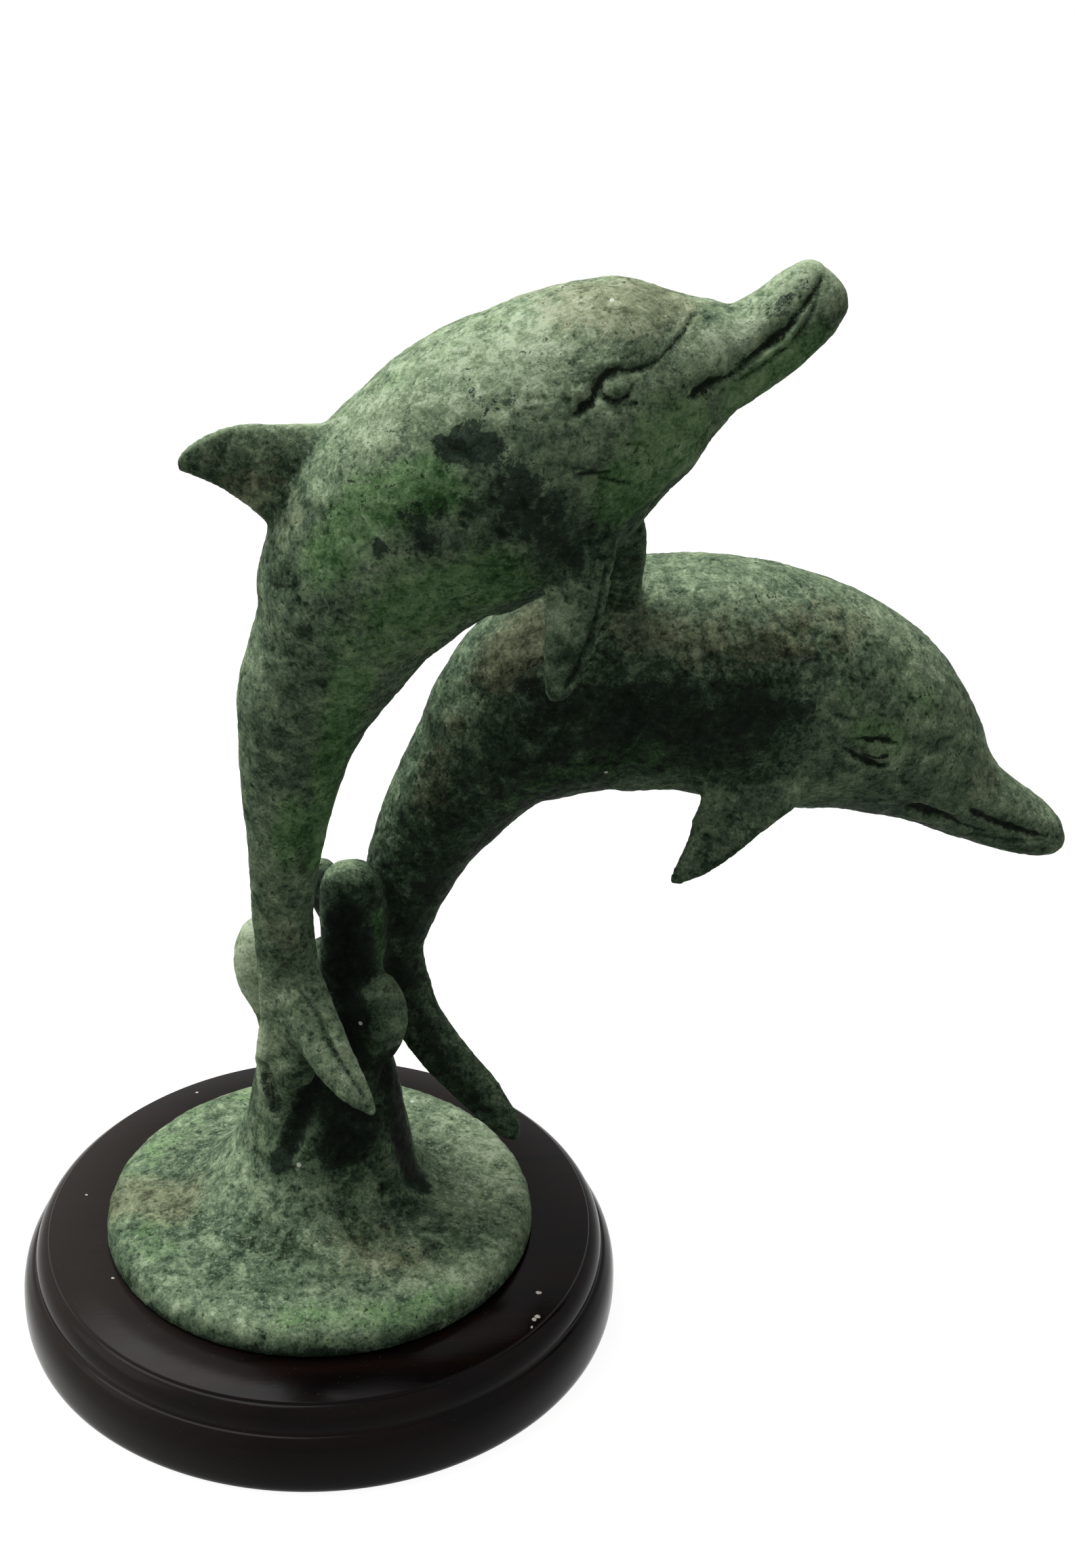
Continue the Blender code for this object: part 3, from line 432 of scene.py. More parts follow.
# Patina laid on in patches: points in space, reach in mm, amount
patches = {
    "umber": (     # brown oxide that shows through
        (((66.0, -32.0, 322.0), (80.0, -32.0, 320.0), (86.0, -28.0, 320.0)), 12, 0.9),
        (((0.0, -30.0, 262.0), (-12.0, -22.0, 274.0)), 10, 0.5),
        (((61.0, 8.0, 220.0), (51.0, 6.0, 211.0)), 12, 0.95),
        (((90.0, 0.0, 222.0), (120.0, 0.0, 218.0), (150.0, 10.0, 220.0)), 13, 0.55),
        (((40.0, 8.0, 190.0), (32.0, 8.0, 165.0)), 9, 0.5),
        (((62.0, -50.0, 252.0), (50.0, -51.0, 262.0)), 7, 0.4),
        (((-58.0, 2.0, 35.0), (-44.0, -4.0, 37.0)), 13, 0.8),
        (((10.0, -30.0, 41.0), (24.0, -38.0, 38.0)), 12, 0.6),
        (((200.0, 15.0, 165.0), (190.0, 12.0, 168.0)), 8, 0.5),
        (((-13.0, -19.0, 150.0), (-9.0, -19.0, 130.0)), 8, 0.4),
    ),
    "moss": (      # smooth saturated green
        (((88.0, -44.0, 293.0), (78.0, -47.0, 282.0)), 14, 0.9),
        (((105.0, -36.0, 300.0), (122.0, -34.0, 312.0)), 9, 0.75),
        (((30.0, -50.0, 284.0), (14.0, -46.0, 276.0), (4.0, -42.0, 262.0)), 10, 0.85),
        (((24.0, -47.0, 250.0), (45.0, -50.0, 256.0)), 15, 0.85),
        (((12.0, -40.0, 240.0), (30.0, -42.0, 236.0), (48.0, -44.0, 240.0)), 12, 0.6),
        (((20.0, -30.0, 303.0), (48.0, -26.0, 320.0)), 9, 0.4),
        (((10.6, -38.9, 228.0), (8.0, -33.0, 212.0), (5.0, -24.0, 190.0), (2.0, -18.0, 165.0)), 7, 0.9),
        (((152.0, -3.0, 193.0), (164.0, -1.0, 186.0)), 8, 0.6),
        (((172.0, 6.0, 195.0), (168.0, 4.0, 203.0)), 10, 0.45),
        (((140.0, -6.0, 205.0), (150.0, -4.0, 200.0)), 8, 0.4),
        (((7.0, -34.0, 112.0), (2.0, -26.0, 122.0)), 5, 0.6),
        (((-46.0, -28.0, 36.0), (-52.0, -16.0, 36.0)), 11, 0.45),
        (((-56.0, 12.0, 36.0), (-42.0, 42.0, 34.0), (-20.0, 56.0, 33.0)), 12, 0.45),
        (((-10.0, -56.0, 35.0), (20.0, -56.0, 34.0), (36.0, -48.0, 34.0)), 8, 0.55),
        (((8.0, -20.0, 50.0), (12.0, -28.0, 44.0)), 9, 0.5),
        (((70.0, 20.0, 150.0), (100.0, 10.0, 140.0), (130.0, 10.0, 138.0)), 12, 0.5),
        (((58.0, 0.0, 165.0), (72.0, -6.0, 176.0), (92.0, -6.0, 186.0)), 12, 0.5),
        (((18.5, 1.0, 132.0), (18.6, 1.5, 118.0)), 4, 0.6),
    ),
    "stain": (     # blackened blotches, and painted shade: under A's body, behind the tails, on the shaded pillar and along the rim's foot
        (((34.4, -48.8, 292.4), (41.4, -50.3, 293.7)), 6.5, 1.25),
        (((50.7, -53.0, 283.4), (58.4, -52.0, 273.6), (61.3, -48.0, 264.0)), 11, 0.98),
        (((66.0, -51.0, 282.0), (70.0, -50.0, 276.0)), 8, 0.5),
        (((25.8, -49.7, 276.0), (28.6, -50.9, 270.2)), 7.5, 0.85),
        (((16.8, -47.3, 266.9), (17.4, -47.3, 266.0)), 3.5, 0.9),
        (((45.9, -53.1, 272.5), (46.5, -53.1, 271.5)), 3.5, 0.8),
        (((-28.0, -18.0, 276.0), (-24.0, -18.0, 270.0)), 6, 0.6),
        (((176.7, 5.7, 188.1), (180.1, 5.6, 175.1)), 7, 0.5),
        (((169.4, 2.5, 172.5), (158.0, -1.0, 178.0)), 5, 0.6),
        (((158.0, 7.6, 212.2), (164.5, 7.3, 206.3)), 5, 0.5),
        # painted shade: B's flank and lower side, under A
        (((60.0, -4.0, 205.0), (80.0, -9.0, 200.0), (110.0, -9.0, 200.0), (132.0, -8.0, 198.0)), 17, 0.85),
        (((80.0, -8.0, 190.0), (110.0, -9.0, 185.0), (118.0, -10.0, 174.0)), 13, 0.6),
        (((45.0, 5.0, 175.0), (35.0, 6.0, 150.0), (27.0, 7.0, 120.0)), 9, 0.75),
        (((24.0, 8.0, 110.0), (33.0, 4.0, 84.0), (46.0, -4.0, 70.0)), 7, 0.85),
        (((-7.8, -22.6, 172.0), (-8.0, -21.0, 150.0)), 8, 0.45),
        # painted shade, from here to the fold's crevice: the stem behind the tails, its folds and the shaded back
        # pillar
        (((8.0, -1.0, 132.0), (6.0, 0.5, 122.0), (8.0, 0.0, 112.0)), 8, 1.4),
        (((13.3, -1.0, 126.0), (12.0, -1.0, 114.0)), 6, 1.3),
        (((11.0, -6.0, 106.0), (10.5, -6.0, 98.0), (9.0, -9.0, 86.0)), 6, 1.4),
        (((0.4, -10.4, 84.1), (6.0, -12.0, 76.0), (13.0, -11.0, 68.0), (5.0, -14.0, 61.0)), 8, 1.4),
        (((-2.8, -11.0, 80.0), (-9.0, -12.0, 62.0), (-12.5, -13.0, 56.0)), 4.5, 1.3),
        (((21.1, -5.6, 87.5), (22.3, -1.1, 76.7), (23.8, -2.0, 64.4), (25.3, -3.5, 52.4), (30.0, -5.0, 42.0)), 6, 1.4),
        (((33.8, -32.3, 37.2), (31.0, -14.0, 40.0)), 12, 0.6),
        (((20.0, -20.0, 44.0), (10.0, -34.0, 40.0)), 9, 0.55),
        (((-16.0, -17.3, 92.0), (-14.0, -18.7, 86.0), (-13.0, -18.5, 80.0)), 3.2, 1.4),
        (((3.0, 12.0, 138.0), (3.0, 13.0, 130.0)), 8, 0.9),
        (((38.0, -46.0, 306.0), (56.0, -46.0, 302.0), (66.0, -46.0, 300.0)), 6, 0.62),
        (((68.0, -46.0, 303.0), (80.0, -46.0, 305.0)), 5, 0.6),
        (((92.0, -40.0, 308.0), (104.0, -36.0, 312.0)), 6, 0.55),
        (((106.0, -36.0, 314.0), (119.0, -30.0, 324.0)), 5, 0.7),
        (((150.0, -2.0, 192.0), (164.0, 0.0, 182.0), (172.0, 4.0, 176.0)), 9, 0.62),
        # painted shade: a black line along the foot of the rim, where it meets the plinth
        (((-50.0, -41.0, 28.0), (-25.0, -59.7, 28.0), (0.0, -64.7, 28.0), (25.0, -59.7, 28.0), (50.0, -41.0, 28.0),
          (62.0, -18.0, 28.0)), 3.2, 0.95),
    ),
    "crust": (     # pale powdery verdigris; on A's upper back and the left of the stem it is also painted light from the upper left
        # painted light: this pale crust on A's upper back stands partly for light from the upper left
        (((14.0, -34.0, 296.0), (34.0, -38.0, 306.0), (52.0, -40.0, 311.0)), 17, 1.0),
        (((88.0, -40.0, 311.0), (104.0, -36.0, 315.0), (122.0, -27.0, 329.0)), 8, 0.8),
        (((96.0, -44.0, 312.0), (86.0, -47.0, 306.0)), 7, 0.6),
        (((-8.0, -25.0, 240.0), (-10.0, -27.0, 225.0)), 10, 0.5),
        (((55.0, -52.5, 287.0), (58.0, -52.0, 282.0)), 4, 0.7),
        (((62.0, -53.0, 252.0), (64.0, -53.0, 246.0)), 5, 0.7),
        (((86.0, 10.0, 229.0), (98.0, 12.0, 232.0), (128.0, 12.0, 228.0)), 10, 0.55),
        (((150.0, 20.0, 222.0), (172.0, 16.0, 203.0)), 10, 0.5),
        (((200.0, 20.0, 168.0), (222.0, 20.0, 150.0)), 8, 0.5),
        (((136.0, -4.0, 184.0), (150.0, 0.0, 176.0)), 9, 0.55),
        (((-12.8, -17.8, 118.0), (-18.0, -6.0, 114.0)), 9, 1.0),
        (((7.0, -33.0, 100.0), (2.0, -24.0, 105.0)), 7, 0.4),
        (((19.0, -6.0, 98.0), (22.0, -5.0, 91.0)), 6, 0.9),
        (((-26.0, -8.0, 52.0), (-30.0, -30.0, 38.0)), 13, 0.5),
        (((-24.2, -52.9, 35.3), (5.0, -52.3, 36.3)), 8, 0.7),
        (((24.8, -45.0, 36.5), (42.0, -40.0, 35.3)), 7, 1.0),
        (((42.0, -9.0, 37.7), (50.0, 4.0, 36.0), (46.0, 30.0, 35.0)), 11, 0.8),
        (((0.0, -30.0, 43.0), (4.0, -33.0, 41.0)), 5, 0.6),
        (((5.5, 3.7, 146.0), (11.4, 1.0, 146.0)), 4, 0.3),
        # painted light: these two rows pale the left of the stem and its lobe, where light from the left falls, as well
        # as crust
        (((-19.0, 3.0, 124.0), (-21.0, 4.0, 112.0), (-19.0, 2.0, 104.0)), 9, 2.0),
        (((-15.0, -16.5, 104.0), (-18.5, -13.0, 92.0), (-21.0, -12.0, 76.0)), 8, 1.5),
        (((196.0, 10.0, 166.0), (212.0, 16.0, 152.0), (170.0, 3.0, 190.0)), 10, 0.5),
        (((104.0, -38.0, 296.0), (86.0, -46.0, 290.0), (74.0, -49.0, 296.0)), 13, 0.8),
        (((150.0, -3.0, 192.0), (162.0, -1.0, 183.0), (140.0, -5.0, 198.0)), 11, 0.9),
        (((20.0, -47.0, 262.0), (34.0, -48.0, 244.0), (8.0, -36.0, 222.0)), 14, 0.5),
        (((-10.0, -20.0, 190.0), (-10.0, -19.0, 150.0)), 10, 0.4),
        (((150.0, 0.0, 172.0), (136.0, 0.0, 170.0), (90.0, 2.0, 170.0)), 10, 1.0),
    ),
    "dusk": (      # darker patina and painted shade: low down, under the bodies and fins, and in shelter
        (((30.0, 10.0, 130.0), (60.0, 6.0, 190.0), (100.0, 4.0, 205.0), (124.0, 6.0, 203.0)), 32, 0.8),
        (((60.0, -2.0, 184.0), (90.0, -8.0, 194.0), (112.0, -8.0, 194.0)), 18, 1.0),
        (((9.0, -2.0, 138.0), (10.0, -4.0, 105.0), (9.0, -8.0, 90.0)), 11, 1.3),
        (((3.0, -12.0, 74.0), (12.0, -11.0, 64.0)), 11, 1.0),
        (((21.1, -5.6, 84.0), (23.8, -2.0, 64.4), (26.0, -4.0, 48.0)), 7, 1.7),
        (((28.0, 8.0, 110.0), (36.0, 4.0, 84.0), (56.0, -6.0, 62.0)), 12, 0.9),
        (((34.0, -34.0, 36.0), (44.0, -20.0, 36.0), (30.0, -14.0, 40.0)), 18, 0.45),
        (((-50.0, -10.0, 37.0), (-36.0, -30.0, 38.0), (-8.0, -46.0, 38.0), (24.0, -44.0, 38.0)), 26, 0.5),
        (((-8.0, -18.0, 200.0), (-8.0, -18.0, 160.0), (-10.0, -18.0, 135.0)), 14, 0.1),
        (((0.0, -30.0, 250.0), (0.0, -30.0, 225.0)), 14, 0.2),
        (((40.0, -52.0, 270.0), (56.0, -52.0, 276.0), (30.0, -50.0, 284.0)), 20, 0.15),
        (((72.0, -46.0, 266.0), (80.0, -2.0, 240.0)), 10, 0.6),
        (((69.0, -53.0, 256.0), (65.0, -57.0, 236.0)), 8, 0.6),
        (((125.0, -6.0, 174.0), (112.0, -8.0, 158.0), (104.0, -10.0, 146.0)), 12, 0.6),
    ),
}


# The bodies' far sides carry like patches: from this height up, about each body's middle plane, set a little back
farPatches = dict(above=125, upperMiddle=-22, lowerMiddle=24, upperInFrontOf=-15, back=9, fade=1.1)


def paintFields(mesh):
    # writes the patina's fields as point attributes, which the bronze material reads
    places, normals = placesOf(mesh), normalsOf(mesh)
    neighbours = neighboursOf(mesh)
    fields = {name: np.zeros(len(places)) for name in patches}
    for name, rows in patches.items():
        for line, reach, amount in rows:
            gap = lineField(places, line)[0]
            if min(point[2] for point in line) > farPatches["above"]:
                upper = line[0][1] < farPatches["upperInFrontOf"]
                middle = farPatches["upperMiddle" if upper else "lowerMiddle"]
                far = [(x - farPatches["back"], 2 * middle - y, z) for x, y, z in line]
                gap = np.minimum(gap, farPatches["fade"] * lineField(places, far)[0])
            fields[name] = np.maximum(fields[name], amount * np.exp(-(gap / reach) ** 2))
    # above 0 in a hollow, below 0 on a ridge: how far the skin lies under its own calmed shape
    fine, broad = (np.einsum("ij,ij->i", calmed(places, neighbours, rounds) - places, normals) for rounds in (4, 60))
    fields["pressed"] = np.maximum(headField(places, normals)[1], markField(places)[1])
    fields["hollow"] = np.clip(np.clip(fine / 0.16, 0, 1) * 0.45 + np.clip(broad / 2.0, 0, 1) * 0.55, 0, 1)
    fields["ridge"] = np.clip(-fine / 0.16, 0, 1) * 0.55 + np.clip(-broad / 1.8, 0, 1) * 0.45
    # facing up: it lifts the tone of upper faces, partly as pale dust and partly as painted top light
    fields["skyward"] = np.clip(calmed(normals, neighbours, 3)[:, 2] * 0.5 + 0.5, 0, 1)
    fields["flake"] = crustField(places)
    fields["pit"] = pitField(places)
    for name, values in fields.items():
        layer = mesh.attributes.new(name, "FLOAT", "POINT")
        layer.data.foreach_set("value", values.astype(np.float32))


# Verdigris bronze: sand-cast bronze, chemically greened and left matt.
# The eye gets a dry mineral skin: pale powder on the shoulders, black-green in the hollows,
# brown oxide between, flaked and pitted at one to four millimetres.
patina = dict(
    ramp=((0.0, "#091109"), (0.16, "#182517"), (0.34, "#344632"), (0.54, "#5f735a"), (0.76, "#8a9e7c"),
          (1.0, "#bfd0af")),
    mossRamp=((0.0, "#0f250d"), (0.36, "#3b6233"), (0.7, "#7b9f6b"), (1.0, "#a3c190")),
    umberRamp=((0.0, "#201f16"), (0.36, "#5a5c45"), (0.7, "#939a79"), (1.0, "#bfc2a6")),
    stainRamp=((0.0, "#020502"), (0.40, "#0e180f"), (0.8, "#304035"), (1.0, "#5a6a5e")),
    black="#070d07", chalk="#cbd9bc", chip="#dfe4d6",
    roughness=(0.60, 0.95), bump=0.6,
    # the noises that mottle the tone: size in mm, detail, roughness, bend, amount
    mottling=((32, 3, 0.5, 0.6, 0.34), (9, 5, 0.62, 0.5, 0.40), (2.4, 5, 0.70, 0.3, 0.46), (0.9, 4, 0.70, 0.2, 0.75)),
    # how much each painted field moves the tone; the facing-up field makes upper faces paler, partly pale dust and
    # partly painted top light
    tones=(("skyward", 0.36), ("crust", 0.22), ("ridge", 0.10), ("flake", 0.06), ("dusk", -0.30), ("hollow", -0.28),
           ("pit", -0.10)),
    ground=0.27,
    # how each patch is cut off: spread of its edge, start and end of the cut, cover
    covers=(("moss", 0.8, 1.34, 1.64, 0.8), ("umber", 0.9, 1.45, 1.80, 0.7), ("stain", 1.6, 2.72, 2.84, 0.92)),
    # bare chips: place and size in mm
    chips=((73.1, -34.0, 324.0, 0.55), (81.5, -2.4, 179.6, 0.45), (12.5, -7.7, 101.8, 0.5), (-6.2, -14.1, 56.6, 0.6),
           (92.0, 60.0, 226.0, 0.5), (30.0, 44.0, 36.5, 0.6)),
)


def patinaBronze():
    material, tree, shader = newMaterial("verdigris bronze, sand cast")
    place = addNode(tree, "TexCoord").outputs["Object"]
    scaled = addNode(tree, "Mapping", {"Scale": (1000, 1000, 1000)}, {"Vector": place})
    fields = {name: addNode(tree, "Attribute", {"attribute_name": name}).outputs["Fac"]
              for name in ("umber", "moss", "stain", "crust", "dusk", "pressed", "hollow", "ridge", "skyward",
                           "flake", "pit")}

    # tone runs from black-green in the hollows to chalk on the shoulders
    start = patina["ground"] - 0.5 * sum(row[4] for row in patina["mottling"])
    tone = addNode(tree, "Math", {"operation": "ADD", 0: 0.0, 1: start})
    for name, amount in patina["tones"]:
        tone = addNode(tree, "Math", {"operation": "MULTIPLY_ADD", 1: amount}, {0: fields[name], 2: tone})
    # crisp scales of crust about 6 mm across stand paler, and the gaps between them darker
    scales = addNode(tree, "TexNoise", {"Scale": 1 / 6.0, "Detail": 8, "Roughness": 0.72, "Distortion": 0.3},
                     {"Vector": scaled})
    for edges, amount in (((0.54, 0.58), 0.15), ((0.45, 0.41), -0.15)):
        scale = addNode(tree, "MapRange", {1: edges[0], 2: edges[1], 3: 0.0, 4: 1.0}, {0: scales})
        tone = addNode(tree, "Math", {"operation": "MULTIPLY_ADD", 1: amount}, {0: scale, 2: tone})
    clouds = []
    for size, detail, rough, bend, amount in patina["mottling"]:
        settings = {"Scale": 1 / size, "Detail": detail, "Roughness": rough, "Distortion": bend}
        clouds.append(addNode(tree, "TexNoise", settings, {"Vector": scaled}))
        tone = addNode(tree, "Math", {"operation": "MULTIPLY_ADD", 1: amount}, {0: clouds[-1], 2: tone})
    blotch, mottle, grain = clouds[1:]
    body = addNode(tree, "ValToRGB", {}, {"Fac": tone}, patina["ramp"]).outputs[0]

    # each patch ends in ragged flecks: its field plus three noises, cut off steeply
    for name, spread, start, stop, most in patina["covers"]:
        tint = addNode(tree, "ValToRGB", {}, {"Fac": tone}, patina[name + "Ramp"])
        edge = addNode(tree, "Math", {"operation": "MULTIPLY_ADD", 1: spread}, {0: blotch, 2: fields[name]})
        edge = addNode(tree, "Math", {"operation": "MULTIPLY_ADD", 1: spread}, {0: mottle, 2: edge})
        edge = addNode(tree, "Math", {"operation": "MULTIPLY_ADD", 1: 0.5 * spread}, {0: grain, 2: edge})
        cover = addNode(tree, "MapRange", {1: start, 2: stop, 3: 0.0, 4: most}, {0: edge})
        body = addNode(tree, "Mix", {"data_type": "RGBA"}, {0: cover, 6: body, 7: tint}).outputs[2]

    # black specks of 1.6 mm in swarms
    specks = addNode(tree, "TexNoise", {"Scale": 1 / 1.6, "Detail": 3, "Roughness": 0.6, "Distortion": 0.4},
                     {"Vector": scaled})
    speck = addNode(tree, "MapRange", {1: 0.41, 2: 0.35, 3: 0.0, 4: 1.0}, {0: specks})
    swarm = addNode(tree, "MapRange", {1: 0.46, 2: 0.60, 3: 0.05, 4: 0.8}, {0: blotch})
    speck = addNode(tree, "Math", {"operation": "MULTIPLY"}, {0: speck, 1: swarm})
    body = addNode(tree, "Mix", {"data_type": "RGBA", 7: patina["black"]}, {0: speck, 6: body}).outputs[2]

    # pale powder caught on the grain of the upper surfaces, and kept off the dark patches
    powder = addNode(tree, "MapRange", {1: 0.55, 2: 0.63, 3: 0.0, 4: 0.65}, {0: addNode(
        tree, "TexNoise", {"Scale": 1 / 1.3, "Detail": 4, "Roughness": 0.7}, {"Vector": scaled})})
    shelf = addNode(tree, "Math", {"operation": "MULTIPLY_ADD", 1: 0.6}, {0: fields["crust"], 2: addNode(
        tree, "MapRange", {1: 0.45, 2: 1.0, 3: 0.0, 4: 0.6}, {0: fields["skyward"]})})
    shelf = addNode(tree, "Math", {"operation": "MULTIPLY_ADD", 1: -0.7}, {0: fields["dusk"], 2: shelf})
    shelf = addNode(tree, "Math", {"operation": "MULTIPLY_ADD", 1: -0.6, "use_clamp": True},
                    {0: fields["stain"], 2: shelf})
    powder = addNode(tree, "Math", {"operation": "MULTIPLY", "use_clamp": True}, {0: powder, 1: shelf})
    body = addNode(tree, "Mix", {"data_type": "RGBA", 7: patina["chalk"]}, {0: powder, 6: body}).outputs[2]

    # the pressed lines go black with torn edges: dark patina held in the grooves, and painted shade in them
    line = addNode(tree, "Math", {"operation": "MULTIPLY_ADD", 1: 2.0}, {0: mottle, 2: fields["pressed"]})
    line = addNode(tree, "Math", {"operation": "MULTIPLY_ADD", 1: 1.8}, {0: grain, 2: line})
    line = addNode(tree, "MapRange", {1: 2.26, 2: 2.58, 3: 0.0, 4: 0.92}, {0: line})
    body = addNode(tree, "Mix", {"data_type": "RGBA", 7: patina["black"]}, {0: line, 6: body}).outputs[2]

    # a few bare chips
    chips = None
    for x, y, z, size in patina["chips"]:
        gap = addNode(tree, "VectorMath", {"operation": "DISTANCE", 1: (x, y, z)}, {0: scaled}).outputs[1]
        spot = addNode(tree, "MapRange", {1: size * 1.1, 2: size * 1.4, 3: 1.0, 4: 0.0}, {0: gap})
        chips = addNode(tree, "Math", {"operation": "MAXIMUM"}, {0: chips, 1: spot}) if chips else spot
    body = addNode(tree, "Mix", {"data_type": "RGBA", 7: patina["chip"]}, {0: chips, 6: body}).outputs[2]
    tree.links.new(body, shader.inputs["Base Color"])

    low, high = patina["roughness"]
    gloss = addNode(tree, "MapRange", {1: 0.3, 2: 0.7, 3: high, 4: low}, {0: mottle})
    gloss = addNode(tree, "Math", {"operation": "MULTIPLY_ADD", 1: 0.12, "use_clamp": True},
                    {0: fields["crust"], 2: gloss})
    tree.links.new(gloss.outputs[0], shader.inputs["Roughness"])
    shader.inputs["Metallic"].default_value = 0.0        # the mineral skin hides the metal
    shader.inputs["Specular IOR Level"].default_value = 0.1

    relief = addNode(tree, "Math", {"operation": "MULTIPLY", 1: 0.5}, {0: grain})
    relief = addNode(tree, "Math", {"operation": "MULTIPLY_ADD", 1: 1.0}, {0: mottle, 2: relief})
    relief = addNode(tree, "Math", {"operation": "MULTIPLY_ADD", 1: -0.35}, {0: speck, 2: relief})
    relief = addNode(tree, "Math", {"operation": "MULTIPLY_ADD", 1: 0.4}, {0: powder, 2: relief})
    bump = addNode(tree, "Bump", {"Strength": patina["bump"], "Distance": 0.6 * mm}, {"Height": relief})
    tree.links.new(bump.outputs[0], shader.inputs["Normal"])
    return material


bronze, frameSurface = skinOverFrame()
net = neighboursOf(bronze.data)
print("skin laid", len(bronze.data.vertices))
letOut(bronze.data, frameSurface, net)
dressJoints(bronze.data, net)
print("skin fitted to the frame")
sculptForms(bronze.data)
outward = normalsOf(bronze.data)
movePlaces(bronze.data, placesOf(bronze.data) + outward * headField(placesOf(bronze.data), outward)[0][:, None])
movePlaces(bronze.data, placesOf(bronze.data) - outward * markField(placesOf(bronze.data))[0][:, None])
roughen(bronze.data)
print("heads, folds and crust modelled")
thinOut(bronze)
paintFields(bronze.data)
for face in bronze.data.polygons:
    face.use_smooth = True
bronze.data.materials.append(patinaBronze())
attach(bronze, "root")
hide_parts("dolphin_casting")
print("bronze finished", len(bronze.data.polygons))


# The plinth is turned mahogany under black-brown lacquer
plinth = dict(
    foot=0.2,              # mm, the wood stands on a felt pad
    steps=224,
    # the dust colour serves both the dust specks and the painted reflection towards the left
    lacquer="#070505", warm="#170c09", dustAndSheen="#5c5650", chip="#d9d4c8",
    # bare chips on the flat top: place and radius in mm
    chips=((63.3, -40.2, 0.75), (62.0, -50.6, 0.95), (61.0, -51.8, 0.8), (60.0, -55.0, 0.5), (-61.5, -26.0, 0.45),
           (-72.0, 14.0, 0.4), (20.0, 74.0, 0.6), (-40.0, 66.0, 0.5)),
)

# half profile from the bore over the underside, up the turned wall and back to the bore:
# radius, height above the wood's foot
plinthProfile = (
    (12.0, 1.3), (85.3, 1.3), (85.3, 0.0), (89.1, 0.0), (89.5, 0.35), (90.0, 1.0), (90.35, 2.4), (90.55, 4.2),
    (90.6, 6.0), (90.55, 8.2), (90.4, 10.5), (90.05, 12.6), (89.5, 14.5), (88.9, 15.8), (88.1, 16.9), (87.6, 17.55),
    (87.25, 17.85), (86.95, 17.95), (86.65, 18.05), (86.4, 18.25), (86.25, 18.6), (86.2, 19.2), (86.2, 20.0),
    (86.05, 21.0), (85.75, 22.0), (85.35, 22.9), (84.8, 23.75), (84.1, 24.5), (83.4, 25.05), (82.75, 25.4),
    (82.45, 25.5), (82.38, 25.62), (82.33, 25.85), (82.22, 26.12), (82.05, 26.3), (81.8, 26.4),
    (66.0, 26.4), (40.0, 26.4), (3.3, 26.4), (3.3, 12.0), (12.0, 12.0),
)


def turnPlinth():
    shape = bmesh.new()
    points = [shape.verts.new((radius * mm, 0, (height + plinth["foot"]) * mm)) for radius, height in plinthProfile]
    for first, second in zip(points, points[1:] + points[:1]):
        shape.edges.new((first, second))
    bmesh.ops.spin(shape, geom=shape.verts[:] + shape.edges[:], cent=(0, 0, 0), axis=(0, 0, 1), dvec=(0, 0, 0),
                   angle=2 * math.pi, steps=plinth["steps"], use_merge=True)
    bmesh.ops.remove_doubles(shape, verts=shape.verts, dist=0.00001)
    bmesh.ops.recalc_face_normals(shape, faces=shape.faces)
    mesh = bpy.data.meshes.new("turnedPlinth")
    shape.to_mesh(mesh)
    shape.free()
    for face in mesh.polygons:
        face.use_smooth = True
    mesh.set_sharp_from_angle(angle=math.radians(38))
    piece = bpy.data.objects.new("turnedPlinth", mesh)
    bpy.context.scene.collection.objects.link(piece)
    return piece


